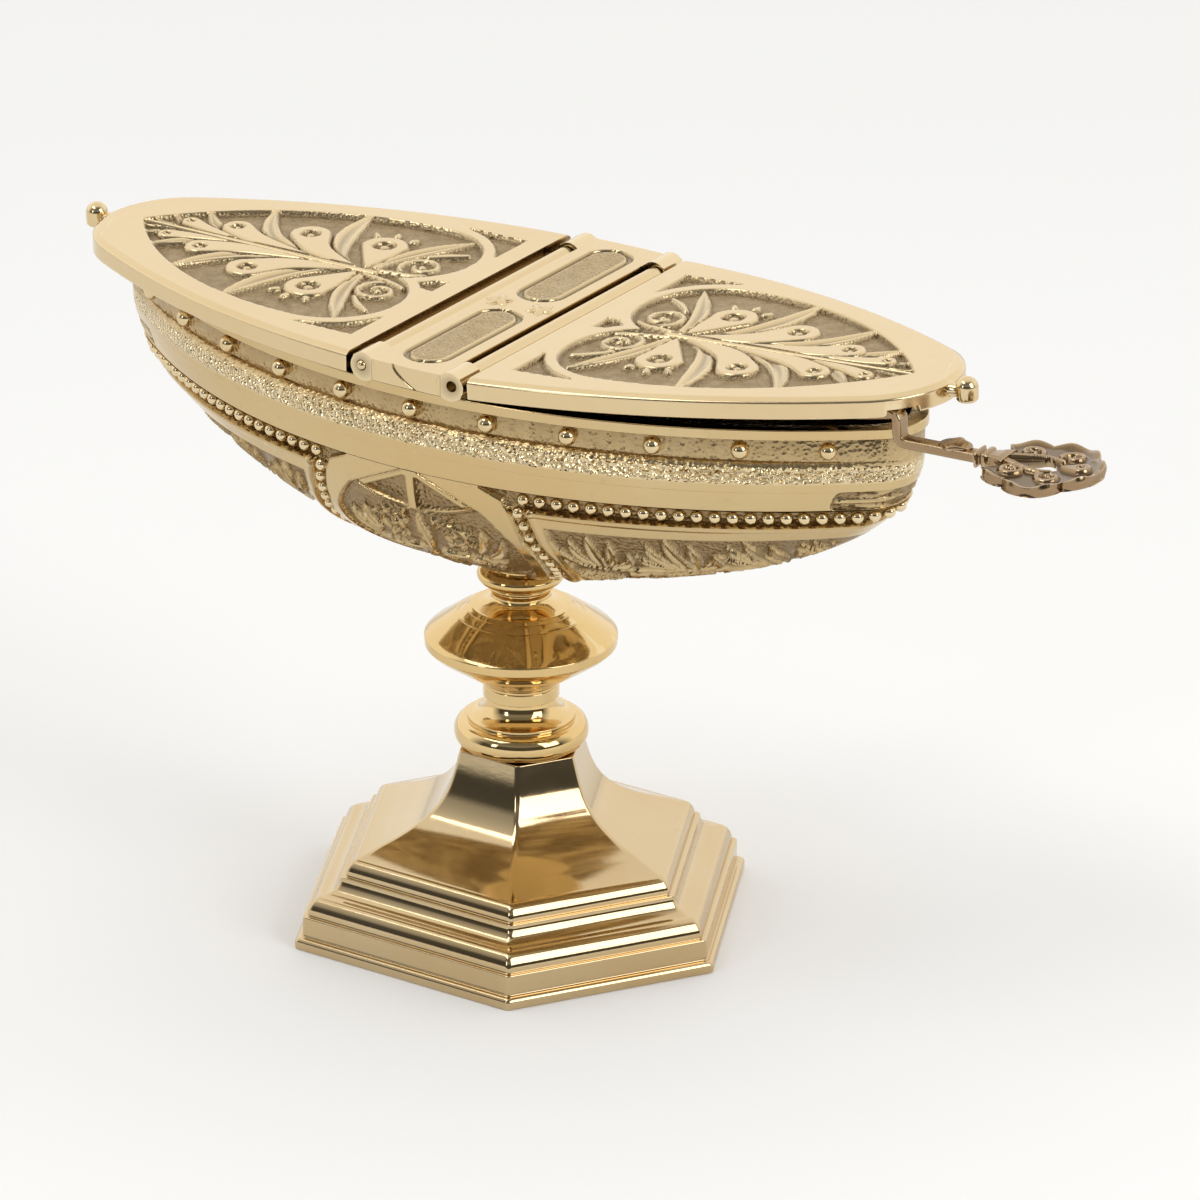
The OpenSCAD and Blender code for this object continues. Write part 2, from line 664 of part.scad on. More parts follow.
// Leaf whose middle line leaves p at angle w and bends by c degrees over its length
function bent(p, w, l, c, t) = let (k = l / c * 180 / PI)
  [p.x + k * (sin(w + c * t) - sin(w)), p.y - k * (cos(w + c * t) - cos(w))];
function leaf_edge(p, w, l, c, wide, side, n) = [for (k = [0:n])
  let (t = k / n, h = wide / 2 * sin(180 * pow(t, 0.7)))
  bent(p, w, l, c, t) + side * (h + 0.15) * [-sin(w + c * t), cos(w + c * t)]];
module leaf(p, w, l, c, wide) {
  polygon(concat(leaf_edge(p, w, l, c, wide, 1, 9), back(leaf_edge(p, w, l, c, wide, -1, 9))));
}

// Plan of a drop leaf: round at c, pointed at its root
module drop(c, root, r) {
  way = (root - c) / norm(root - c);
  side = r * 0.92 * [-way.y, way.x];
  translate(c) circle(r = r);
  polygon([c + side, root, c - side]);
}

// Palmette: stem, four curling pairs of leaves up to the border, three pairs of drop leaves, two scrolls.
// Curls: root's share of the arch, angle, length's share, bend, share of the width
curls = [
  [0.018, 92, 0.485, 36, 0.7],
  [0.065, 28, 0.549, 66, 1],
  [0.21, 10, 0.553, 56, 0.85],
  [0.455, 6, 0.42, 41, 0.6],
];
// Drops: eye's shares of the arch's length and height, share of the size, root's share of the arch
drops = [[0.103, 0.428, 1, 0.045], [0.411, 0.375, 0.85, 0.19], [0.672, 0.225, 0.62, 0.43]];
function eye_place(q, s) = [lobe_x + q[0] * arch_l, s * q[1] * arch_h];
function scroll_place(s) = [lobe_x - lobe_r * 0.48, s * lobe_r * 0.54];
module palmette() {
  difference() {
    union() {
      leaf([lobe_x, 0], 0.1, arch_l * 0.96, 0.2, leaf_w * 0.5);
      for (q = curls, s = [-1, 1])
        leaf([lobe_x + q[0] * arch_l, 0], s * q[1], q[2] * arch_l, s * q[3], leaf_w * q[4]);
      for (q = drops, s = [-1, 1]) drop(eye_place(q, s), [lobe_x + q[3] * arch_l, 0], drop_r * q[2]);
      for (s = [-1, 1]) translate(scroll_place(s)) circle(r = drop_r);
    }
    for (q = drops, s = [-1, 1]) translate(eye_place(q, s)) circle(r = eye_r * q[2]);
    for (s = [-1, 1]) translate(scroll_place(s)) circle(r = eye_r);
  }
}

// One closed lid towards +X
module lid(notched) {
  difference() {
    union() {
      loft([lid_ring(0, lid_z), lid_ring(0, top_z - bevel_h), lid_ring(bevel_w, top_z)]);
      translate([hinge_x, 0, hinge_z]) rotate([90, 0, 0])
        cylinder(r = barrel_r, h = 2 * barrel_y, center = true);
      translate([hinge_x, -barrel_y, lid_z]) cube([groove_w + 1, 2 * barrel_y, hinge_z - lid_z]);
    }
    translate([0, 0, lid_z - eps]) linear_extrude(lid_t - plate_t + eps)
      polygon(lid_plan(skirt_w, skirt_w));
    translate([hinge_x, 0, hinge_z]) rotate([90, 0, 0])
      cylinder(r = pin_r + pin_gap, h = 2 * barrel_y + 1, center = true);
    translate([0, 0, top_z - panel_d]) linear_extrude(panel_d + 1) difference() {
      panel_plan();
      palmette();
    }
    translate([0, 0, top_z - panel_d + leaf_h]) linear_extrude(1) palmette();
    translate([lid_a - tang_l, 0, lid_z + lid_t / 2]) rotate([0, 90, 0])
      cylinder(r = tang_r, h = tang_l + 1);
    if (notched)
      translate([post_x - 6, post_y - notch_w / 2, lid_z - 1]) cube([lid_a, notch_w, lid_t - plate_t + 1]);
  }
}

// Rounded upright lug with its neck and the tang that holds it in the lid's edge
module lug() {
  x = lid_a + lug_neck + lug_r;
  z = lid_z + lid_t / 2;
  translate([x, 0, z - lug_h / 2 + lug_lift]) cylinder(r = lug_r, h = lug_h);
  translate([x, 0, z + lug_h / 2 + lug_lift]) sphere(r = lug_r);
  translate([lid_a, 0, z]) rotate([0, 90, 0]) cylinder(r = lug_neck_r, h = lug_neck + lug_r);
  translate([lid_a - tang_l, 0, z]) rotate([0, 90, 0]) cylinder(r = tang_r, h = tang_l + 1);
}

// Right-hand lid parts, held open on the spoon's handle
module held_open() {
  translate([hinge_x, 0, hinge_z]) rotate([0, -ajar, 0]) translate([-hinge_x, 0, -hinge_z]) children();
}

module left_lid() { color("wheat") mirror([1, 0, 0]) lid(false); }
module left_lid_lug() { color("khaki") mirror([1, 0, 0]) lug(); }
module right_lid() { color("wheat") held_open() lid(true); }
module right_lid_lug() { color("khaki") held_open() lug(); }

// Flat bar along a side path of [distance, height] points
function bar_edge(path, d) = [for (k = [0:len(path) - 1]) let (
  p = path[max(0, k - 1)], q = path[min(len(path) - 1, k + 1)], v = (q - p) / norm(q - p))
  path[k] + d * [-v.y, v.x]];
module bar(path) {
  rotate([90, 0, 0]) linear_extrude(bar_w, center = true)
    polygon(concat(bar_edge(path, bar_t / 2), back(bar_edge(path, -bar_t / 2))));
}
module at_post(turn) {
  translate([post_x, post_y, 0]) rotate([0, 0, turn]) children();
}

module spoon_bowl() {
  bowl_r = (scoop_r * scoop_r + scoop_h * scoop_h) / (2 * scoop_h);
  color("rosybrown")
  at_post(-arm_turn)
  translate([-scoop_x, 0, scoop_z])
  rotate_extrude()
  intersection() {
    difference() {
      translate([0, bowl_r]) circle(r = bowl_r);
      translate([0, bowl_r]) circle(r = bowl_r - scoop_t);
    }
    square([2 * scoop_r, scoop_h]);
  }
}

module spoon_handle() {
  tip = [-scoop_x + scoop_r - braze, scoop_z + scoop_h - bar_t / 2];
  bend = [-bend_x, crank_z - bend_drop];
  color("rosybrown") {
    at_post(-arm_turn) bar([tip, bend, [0, crank_z]]);
    at_post(0) translate([0, 0, tail_z - bar_t / 2]) cylinder(r = post_r, h = crank_z - tail_z + bar_t / 2);
    at_post(tail_turn) {
      bar([[0, tail_z], [collar_x, tail_z]]);
      translate([collar_x - plate_back, 0, tail_z - bar_t / 2]) cylinder(r = bar_w, h = bar_t);
    }
  }
}

module spoon_finial() {
  color("rosybrown")
  at_post(tail_turn) {
    translate([collar_x, -bar_w / 2 - collar_out, tail_z - bar_t / 2 - collar_out])
      cube([collar_l, bar_w + 2 * collar_out, bar_t + 2 * collar_out]);
    translate([0, 0, tail_z - finial_t / 2]) linear_extrude(finial_t) difference() {
      union() {
        translate([collar_x + collar_l / 2, -bar_w / 2]) square([finial_x - collar_x, bar_w]);
        translate([finial_x, 0]) circle(r = finial_r);
        for (k = [0:finial_lobes - 1]) rotate_about(finial_x, -140 + 280 * k / (finial_lobes - 1))
          translate([finial_r - 0.2, 0]) circle(r = finial_lobe);
      }
      translate([finial_x - 1, 0]) circle(r = finial_hole);
    }
  }
}
module rotate_about(x, w) {
  translate([x, 0]) rotate(w) children();
}

foot();
foot_washer();
foot_nut();
tie_rod();
lower_collar();
knop();
upper_collar();
bowl();
frieze_studs();
bridge();
bridge_pegs();
left_hinge_pin();
right_hinge_pin();
left_lid();
left_lid_lug();
right_lid();
right_lid_lug();
spoon_bowl();
spoon_handle();
spoon_finial();
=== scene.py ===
import bmesh
import bpy
import numpy as np
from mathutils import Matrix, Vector
from numpy import cos, sin, pi, linspace, clip, interp, hypot, maximum, minimum, radians


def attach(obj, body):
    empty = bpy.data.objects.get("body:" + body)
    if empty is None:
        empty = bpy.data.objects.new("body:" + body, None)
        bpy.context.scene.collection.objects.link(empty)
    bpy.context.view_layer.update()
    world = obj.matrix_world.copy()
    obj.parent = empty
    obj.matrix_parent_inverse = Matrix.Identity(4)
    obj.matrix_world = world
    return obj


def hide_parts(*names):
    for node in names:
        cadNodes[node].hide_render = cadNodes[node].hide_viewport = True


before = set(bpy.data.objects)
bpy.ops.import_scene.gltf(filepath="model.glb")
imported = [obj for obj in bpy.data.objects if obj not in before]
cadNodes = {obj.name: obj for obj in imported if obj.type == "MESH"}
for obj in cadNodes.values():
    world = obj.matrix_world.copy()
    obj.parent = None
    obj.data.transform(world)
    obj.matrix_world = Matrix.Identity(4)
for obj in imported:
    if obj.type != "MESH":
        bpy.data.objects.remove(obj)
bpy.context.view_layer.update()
scene = bpy.context.scene
mm = 0.001
print("frame loaded:", len(cadNodes), "solids")


# Settings and arrays

class settings(dict):
    # dictionary whose values are also read with a dot
    __getattr__ = dict.__getitem__


def join(*parts):
    # arrays laid end to end
    return np.concatenate(parts)


def columns(*parts):
    # point array: each part is one coordinate, spread to the shape they share
    return np.stack(np.broadcast_arrays(*parts), -1)


def unit(v):
    # vectors divided by their length
    return v / np.linalg.norm(v, axis=-1, keepdims=True)


def fullTurn(n):
    # n even angles round a circle
    return linspace(0, 2 * pi, n, endpoint=False)


def smooth(lo, hi, x):
    # cubic step from 0 at lo to 1 at hi
    t = clip((x - lo) / (hi - lo), 0, 1)
    return t * t * (3 - 2 * t)


def hump(x, middle, half):
    # half ellipse: root of 1 minus the squared share of the half width
    return clip(1 - ((x - middle) / half) ** 2, 0, 1) ** 0.5


def evenly(path, n=0, step=None, first=0.3):
    # points at even distances along a path, n of them or one every step
    s = join([0], np.cumsum(np.linalg.norm(np.diff(path, axis=0), axis=1)))
    at = linspace(0, s[-1], n) if step is None else np.arange(first, s[-1], step)
    return columns(*[interp(at, s, column) for column in path.T])


def smoothPath(corners, n=40):
    # corner cutting: each round puts every chord's quarter points in its place, the ends stay;
    # then n points at even distances
    p = np.asarray(corners, float)
    for _ in range(4):
        q, r = 0.75 * p[:-1] + 0.25 * p[1:], 0.25 * p[:-1] + 0.75 * p[1:]
        p = join(p[:1], np.stack([q, r], 1).reshape(-1, p.shape[1]), p[-1:])
    return evenly(p, n)


# Meshes

def sheet(pts, wrapU=False, wrapV=False):
    # grid of points to quads: every cell joins four neighbours, and a wrapped direction
    # also joins its last row to its first
    idx = np.arange(pts.shape[0] * pts.shape[1]).reshape(pts.shape[:2])
    if wrapU:
        idx = np.vstack([idx, idx[:1]])
    if wrapV:
        idx = np.hstack([idx, idx[:, :1]])
    quads = np.stack([idx[:-1, :-1], idx[1:, :-1], idx[1:, 1:], idx[:-1, 1:]], -1)
    return pts.reshape(-1, 3), quads.reshape(-1, 4)


def tube(pts, closed=False):
    # sheet whose rows are rings; closed also joins the last ring to the first
    return sheet(pts, closed, True)


def makePiece(name, shells, finish, body, stands=(), masks=None, crease=38):
    # shells in millimetres are laid end to end in one mesh, doubles merged, faces turned outwards,
    # then it rides on its body
    starts = np.cumsum([0] + [len(p) for p, q in shells])
    pts = join(*[p for p, q in shells]) * mm
    quads = join(*[q + start for (p, q), start in zip(shells, starts)])
    mesh = bpy.data.meshes.new(name)
    mesh.vertices.add(len(pts))
    mesh.vertices.foreach_set("co", pts.astype(np.float32).ravel())
    mesh.loops.add(quads.size)
    mesh.loops.foreach_set("vertex_index", quads.astype(np.int32).ravel())
    mesh.polygons.add(len(quads))
    mesh.polygons.foreach_set("loop_start", np.arange(0, quads.size, 4, dtype=np.int32))
    mesh.update(calc_edges=True)
    for key, values in (masks or {}).items():
        mask = mesh.attributes.new(key, "FLOAT", "POINT")
        whole = np.zeros(len(pts), dtype=np.float32)
        whole[:values.size] = values.ravel()
        mask.data.foreach_set("value", whole)
    bm = bmesh.new()
    bm.from_mesh(mesh)
    bmesh.ops.remove_doubles(bm, verts=bm.verts, dist=1e-6)
    bmesh.ops.recalc_face_normals(bm, faces=bm.faces)
    bm.to_mesh(mesh)
    bm.free()
    mesh.polygons.foreach_set("use_smooth", np.ones(len(mesh.polygons), dtype=bool))
    mesh.set_sharp_from_angle(angle=radians(crease))
    mesh.materials.append(finishes[finish])
    obj = bpy.data.objects.new(name, mesh)
    scene.collection.objects.link(obj)
    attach(obj, body)
    if stands:
        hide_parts(*stands)
    print("piece", name, len(mesh.polygons), "faces")
    return obj


def eased(profile, r, n=3, closed=False):
    # every real corner of a profile becomes a small curve between two points r away,
    # with one support point beyond each end
    straight, support = -0.93, 1.4
    p = np.asarray(profile, float)
    ring = join(p[-1:], p, p[:1]) if closed else p
    s = linspace(0, 1, n + 1)[:, None]
    out = [] if closed else [p[:1]]
    for a, b, c in zip(ring[:-2], ring[1:-1], ring[2:]):
        back, fore = unit(a - b), unit(c - b)
        if back @ fore < straight:
            out.append(b[None])
            continue
        t = min(r, np.linalg.norm(a - b) / 3, np.linalg.norm(c - b) / 3)
        out += [(b + support * t * back)[None], b + t * (back * (1 - s) ** 2 + fore * s ** 2),
                (b + support * t * fore)[None]]
    return join(*out) if closed else join(*out, p[-1:])


def bulge(p, q, n):
    # quarter arc that starts upright and ends level
    w = linspace(0, pi / 2, n + 1)
    return columns(p[0] + (q[0] - p[0]) * (1 - cos(w)), p[1] + (q[1] - p[1]) * sin(w))


def hollow(p, q, n):
    # quarter arc that starts level and ends upright
    w = linspace(0, pi / 2, n + 1)
    return columns(p[0] + (q[0] - p[0]) * sin(w), p[1] + (q[1] - p[1]) * (1 - cos(w)))


def sloped(p, q, n, even=0.292):
    # hollow that ends on a slope: with u the share of the height left to go, the radius grows
    # by the even share of u and the rest of u to the fourth
    u = linspace(1, 0, n + 1)
    return columns(q[0] + (p[0] - q[0]) * (even * u + (1 - even) * u ** 4), q[1] - (q[1] - p[1]) * u)


def halfRing(r, z0, z1, bow, n):
    # half round between two heights: radius swells by bow times the sine
    w = linspace(0, pi, n + 1)
    return columns(r - bow + bow * sin(w), z0 + (z1 - z0) * (1 - cos(w)) / 2)


def lathe(profile, n):
    # each profile point (radius, height) goes round the upright axis: x = r cos w, y = r sin w
    w = fullTurn(n)
    r, z = np.asarray(profile, float).T[:, :, None]
    return columns(r * cos(w), r * sin(w), z)


def domes(centres, axes, radii, around=10, rings=5):
    # small domes: half circles turned about each axis, all at once, one closed bead each
    up = np.where(np.abs(axes[:, 2:3]) < 0.9, [[0, 0, 1.0]], [[1.0, 0, 0]])
    u = unit(np.cross(axes, up))[:, None, None]
    v = np.cross(axes[:, None, None], u)
    w = fullTurn(around)[:, None]
    t = (linspace(-0.35, 1, rings + 1) * pi / 2)[:, None, None]
    out = cos(t) * (cos(w) * u + sin(w) * v) + sin(t) * axes[:, None, None]
    return [tube(p) for p in centres[:, None, None] + radii[:, None, None, None] * out]


# Carving strokes, all drawn on a height field over flat coordinates

strokeSet = settings(cleared=0.9, gap=0.1, dipHalf=0.55, foot=0.8, shoulder=1.2, tail=0.25, dropMoat=0.55)


def nearPath(x, y, path, reach):
    # for the points within reach of the path's box: their indices, distance to the path,
    # and share of its length there
    lo, hi = path.min(0) - reach, path.max(0) + reach
    pick = np.nonzero((x > lo[0]) & (x < hi[0]) & (y > lo[1]) & (y < hi[1]))[0]
    a, ab = path[:-1], np.diff(path, axis=0)
    px, py = x[pick, None] - a[:, 0], y[pick, None] - a[:, 1]
    u = clip((px * ab[:, 0] + py * ab[:, 1]) / (ab ** 2).sum(1), 0, 1)
    d2 = (px - u * ab[:, 0]) ** 2 + (py - u * ab[:, 1]) ** 2
    k = d2.argmin(1)
    row = np.arange(len(pick))
    return pick, np.sqrt(d2[row, k]), (k + u[row, k]) / len(a)


def bandLeaf(field, x, y, points, widths, channel=0.4, moat=0.5, soft=0.3):
    # flat-topped leaf: half width read off along the path, a moat cut round it first,
    # a hollow channel fading to both ends, soft shoulders
    s = strokeSet
    pick, d, t = nearPath(x, y, smoothPath(points), max(widths) / 2 + moat + s.gap)
    half = interp(t, linspace(0, 1, len(widths)), widths) / 2
    field[pick] *= 1 - s.cleared * smooth(half + moat, half + s.gap, d)
    fade = sin(pi * clip(t, 0.01, 0.99)) ** 0.5
    dip = channel * clip(1 - (d / half / s.dipHalf) ** 2, 0, 1) * fade
    rise = smooth(half + s.foot * soft, half - s.shoulder * soft, d)
    field[pick] = maximum(field[pick], rise * (1 - dip))


def dropLeaf(field, x, y, points, r, eye, soft=0.3):
    # drop-shaped leaf: half width falls from r at its round end to a thread at its tail;
    # a ring is sunk there round a small ball
    s = strokeSet
    pick, d, t = nearPath(x, y, smoothPath(points), r + s.tail + s.dropMoat)
    half = r * clip(1 - t, 0, 1) ** 0.9 + s.tail
    field[pick] *= 1 - s.cleared * smooth(half + s.dropMoat, half + s.gap, d)
    rise = smooth(half + s.foot * soft, half - s.shoulder * soft, d)
    field[pick] = maximum(field[pick], rise)
    far = hypot(x - points[0][0], y - points[0][1])
    field *= 1 - smooth(eye + 0.16, eye - 0.32, far)
    field[:] = maximum(field, 0.8 * hump(far, 0, eye * 0.55))


def curl(field, x, y, centre, r0, r1, start, turns, wide):
    # spiral band: the radius falls evenly from r0 to r1 while the angle runs through the turns;
    # a ball sits in its heart
    w = linspace(0, 1, 26)
    angle = radians(start) + 2 * pi * turns * w
    r = r0 + (r1 - r0) * w
    path = columns(centre[0] + r * cos(angle), centre[1] + r * sin(angle))
    bandLeaf(field, x, y, path, [wide, wide, wide * 0.8], 0.15, 0.3)
    far = hypot(x - centre[0], y - centre[1])
    field[:] = maximum(field, 0.9 * hump(far, 0, r1 * 0.6))


def acanthus(field, x, y, centre, r, start, turns, leaves=6):
    # scroll of foliage: pointed leaves lean off the outer winding of a spiral stem that ends in a curl
    way = 1 if turns > 0 else -1
    for k in range(leaves):
        share = 0.04 + 0.7 * k / leaves
        a = radians(start) + 2 * pi * turns * share
        q = r * (1 - 0.5 * share)
        ray = [[centre[0] + q * out * cos(a + way * lean), centre[1] + q * out * sin(a + way * lean)]
               for out, lean in ((0.95, 0), (1.3, 0.2), (1.68, 0.3))]
        bandLeaf(field, x, y, ray, [0.8, r * 0.46, r * 0.34, 0.25], 0.5, 0.4, 0.2)
    curl(field, x, y, centre, r, r * 0.36, start, turns, r * 0.24)


def grains(x, y, size):
    # fine punched grain: product of two turned sines in each of three directions, about -1 to 1
    k = 2 * pi / size
    return (sin(k * x) * sin(k * y * 1.07) + sin(k * (0.8 * x + 0.6 * y)) * sin(k * (0.8 * y - 0.6 * x))
            + sin(k * (0.62 * x - 0.78 * y) + 1.3) * sin(k * 0.9 * (0.78 * x + 0.62 * y))) / 2.2


# Finishes

def plug(tree, socket, value):
    # a link goes into the socket, anything else becomes its value, and a bare colour gets its alpha
    if isinstance(value, bpy.types.NodeSocket):
        tree.links.new(value, socket)
    else:
        socket.default_value = (*value, 1) if socket.type == "RGBA" else value


def addNode(tree, kind, *inputs, **values):
    # node with its settings: inputs go to its sockets in order, names that are the node's own
    # go on it, the others on their sockets
    node = tree.nodes.new(kind)
    for socket, value in zip(node.inputs, inputs):
        plug(tree, socket, value)
    for key, value in values.items():
        if hasattr(node, key):
            setattr(node, key, value)
        else:
            plug(tree, node.inputs[key], value)
    return node


def mixed(tree, share, one, two, colours=True):
    # mix of two colours or two levels by a share
    node = addNode(tree, "ShaderNodeMix", share, data_type="RGBA" if colours else "FLOAT")
    first = 6 if colours else 2
    plug(tree, node.inputs[first], one)
    plug(tree, node.inputs[first + 1], two)
    return node.outputs[2 if colours else 0]


def rescale(tree, value, *ends):
    # straight-line change of range, clamped; ends are the old low and high, then the new ones
    return addNode(tree, "ShaderNodeMapRange", value, *ends).outputs[0]


def noiseOf(tree, coords, scale, detail=4, rough=0.55, stretch=None):
    # noise on object coordinates, stretched along an axis where asked
    if stretch:
        coords = addNode(tree, "ShaderNodeMapping", Vector=coords, Scale=stretch).outputs[0]
    return addNode(tree, "ShaderNodeTexNoise", Vector=coords, Scale=scale, Detail=detail,
                   Roughness=rough).outputs["Fac"]


def bumpOf(tree, height, depth, strength, **under):
    # bump of a given depth over the normal under it; strength is a number or a link
    return addNode(tree, "ShaderNodeBump", Height=height, Distance=depth, Strength=strength, **under).outputs[0]


def cellsOf(tree, coords, scale):
    # rounded cells on object coordinates
    return addNode(tree, "ShaderNodeTexVoronoi", Vector=coords, Scale=scale).outputs["Distance"]


wearSet = settings(
    cloud=38, speck=420, rub=900, stretch=(1, 6, 1), rubDepth=0.0002, cellDepth=0.00025, edge=0.55, dirt=0.6,
    sweepCells=1250, sweepDepth=0.0009, sweepRough=0.12)


def brassFinish(name, look):
    # brass: tone clouded by two noises, edges rubbed bright, and hollows darkened towards the tarnish colour by
    # how the surface bends, as tarnish with painted shade; fine rubbing marks
    s = wearSet
    mat = bpy.data.materials.new(name)
    mat.use_nodes = True
    tree = mat.node_tree
    coords = addNode(tree, "ShaderNodeTexCoord").outputs["Object"]
    bend = addNode(tree, "ShaderNodeNewGeometry").outputs["Pointiness"]
    cloud = noiseOf(tree, coords, s.cloud, 3)
    speck = noiseOf(tree, coords, s.speck, 5, 0.65)
    rub = noiseOf(tree, coords, s.rub, 3, 0.6, s.stretch)
    tone = mixed(tree, rescale(tree, cloud, 0.35, 0.68, 0, 1), look.tone, look.warm)
    tone = mixed(tree, rescale(tree, speck, 0.6, 0.8, 0, look.spots), tone, look.tarnish)
    tone = mixed(tree, rescale(tree, bend, 0.515, 0.56, 0, s.edge), tone, look.bright)
    # tarnish with painted shade: hollows darkened by how the surface bends
    tone = mixed(tree, rescale(tree, bend, 0.485, 0.43, 0, s.dirt), tone, look.tarnish)
    level = rescale(tree, speck, 0.3, 0.75, look.rough * 0.75, look.rough * 1.35)
    normal = bumpOf(tree, rub, s.rubDepth, look.grain)
    if "ground" in look:
        # masks laid on the mesh: punched ground, dirt with painted shade in corners, hollows, holes and gaps,
        # carved leaves, glittering cast sweep
        ground, shadeAndGrime, carved, sweep = (addNode(tree, "ShaderNodeAttribute", attribute_name=key).outputs["Fac"]
                                          for key in ("ground", "shadeAndGrime", "carved", "sweep"))
        matt = mixed(tree, rescale(tree, speck, 0.35, 0.7, 0, 1), look.ground, look.groundDark)
        # painted shade and dirt: the mask darkens the tone towards the dark tarnish colour
        tone = mixed(tree, shadeAndGrime, mixed(tree, ground, tone, matt), look.tarnish)
        level = mixed(tree, ground, level, look.groundRough, False)
        level = mixed(tree, carved, level, look.carvedRough, False)
        tone = mixed(tree, sweep, tone, look.bright)
        level = mixed(tree, sweep, level, s.sweepRough, False)
        normal = bumpOf(tree, cellsOf(tree, coords, look.cells), s.cellDepth, ground, Normal=normal)
        normal = bumpOf(tree, cellsOf(tree, coords, s.sweepCells), s.sweepDepth, sweep, Normal=normal)
    shader = tree.nodes["Principled BSDF"]
    for key, value in (("Metallic", 1.0), ("Base Color", tone), ("Roughness", level), ("Normal", normal)):
        plug(tree, shader.inputs[key], value)
    return mat


brassLooks = {
    "polishedBrass": settings(
        tone=(0.72, 0.53, 0.26), warm=(0.69, 0.48, 0.20), bright=(0.80, 0.64, 0.38), tarnish=(0.28, 0.16, 0.05),
        rough=0.075, spots=0.15, grain=0.02),
    "footBrass": settings(
        tone=(0.61, 0.475, 0.28), warm=(0.59, 0.435, 0.235), bright=(0.78, 0.64, 0.42),
        tarnish=(0.26, 0.16, 0.07), rough=0.08, spots=0.12, grain=0.02),
    "pearlBrass": settings(
        tone=(0.70, 0.56, 0.33), warm=(0.68, 0.51, 0.27), bright=(0.82, 0.68, 0.44), tarnish=(0.24, 0.15, 0.06),
        rough=0.13, spots=0.2, grain=0.04),
    "castBrass": settings(
        tone=(0.62, 0.475, 0.255), warm=(0.60, 0.43, 0.205), bright=(0.80, 0.65, 0.40),
        tarnish=(0.17, 0.10, 0.04), rough=0.16, spots=0.25, grain=0.05, ground=(0.50, 0.37, 0.20),
        groundDark=(0.32, 0.22, 0.11), groundRough=0.4, carvedRough=0.2, cells=1500),
    "lidBrass": settings(
        tone=(0.71, 0.555, 0.325), warm=(0.695, 0.535, 0.305), bright=(0.80, 0.66, 0.43),
        tarnish=(0.16, 0.11, 0.05), rough=0.19, spots=0.03, grain=0.01, ground=(0.46, 0.35, 0.21),
        groundDark=(0.30, 0.22, 0.12), groundRough=0.5, carvedRough=0.27, cells=1900),
    "spoonBrass": settings(
        tone=(0.35, 0.245, 0.14), warm=(0.31, 0.205, 0.11), bright=(0.62, 0.48, 0.31),
        tarnish=(0.11, 0.07, 0.035), rough=0.16, spots=0.45, grain=0.08, ground=(0.30, 0.20, 0.12),
        groundDark=(0.20, 0.13, 0.08), groundRough=0.35, carvedRough=0.2, cells=1500),
    "fixingBrass": settings(
        tone=(0.60, 0.45, 0.22), warm=(0.55, 0.38, 0.16), bright=(0.72, 0.56, 0.32), tarnish=(0.16, 0.09, 0.03),
        rough=0.3, spots=0.5, grain=0.1),
}
finishes = {name: brassFinish(name, look) for name, look in brassLooks.items()}
print("finishes made:", len(finishes))


# Foot

footSet = settings(
    turn=-6.3, short=53.4, edge=0.24, corner=0.5, rodHole=2.1, top=29.7, neck=10.9, wellTop=13, wellR=23,
    rimTop=5, rimR=34.4)


def hexFoot(s):
    # six-sided turning: ring point = profile radius times corner direction + corner easing,
    # whose two legs follow the sides
    long = (360 - 2 * s.short) / 4
    angle = radians(s.turn + np.cumsum([0, long, long, s.short, long, long]))
    c = columns(cos(angle), sin(angle))
    back = unit(c - np.roll(c, 1, 0))[:, None] * s.corner
    fore = unit(np.roll(c, -1, 0) - c)[:, None] * s.corner
    t = linspace(0, 1, 5)[None, :, None]
    ease = np.concatenate([-1.5 * back, -back * (1 - t) ** 2 + fore * t ** 2, 1.5 * fore], 1)
    corner = np.repeat(c, ease.shape[1], 0)
    shoulder = (24.5, 15.5)
    outside = join([[39.9, 0], [39.9, 1.4], [39.4, 1.9], [38.5, 1.9], [38.5, 5.4]],
                   bulge((37.6, 5.4), (35.2, 8.4), 12), hollow((35.2, 8.4), (31.8, 11.2), 12)[1:],
                   bulge((30.9, 11.2), (28.5, 13.9), 12), sloped(shoulder, (s.neck, s.top), 40))
    inside = [[s.rodHole, s.top], [s.rodHole, s.wellTop], [s.wellR, s.wellTop],
              [s.wellR, s.rimTop], [s.rimR, s.rimTop], [s.rimR, 0]]
    r, z = eased(join(outside, inside), s.edge, closed=True).T[:, :, None]
    return columns(*(r * corner[:, k] + ease[..., k].ravel() for k in (0, 1)), z)


makePiece("foot_cast", [tube(hexFoot(footSet), True)], "footBrass", "boat", ["foot"])


# Stem

stemSet = settings(bore=2.1, around=144, edge=0.14)


def turnedPiece(name, node, *outline):
    # the outline and the bore make a closed profile for the lathe
    s = stemSet
    outline = join(*outline)
    loop = join(outline, [[s.bore, outline[-1][1]], [s.bore, outline[0][1]]])
    pts = lathe(eased(loop, s.edge, closed=True), s.around)
    makePiece(name, [tube(pts, True)], "polishedBrass", "boat", [node])


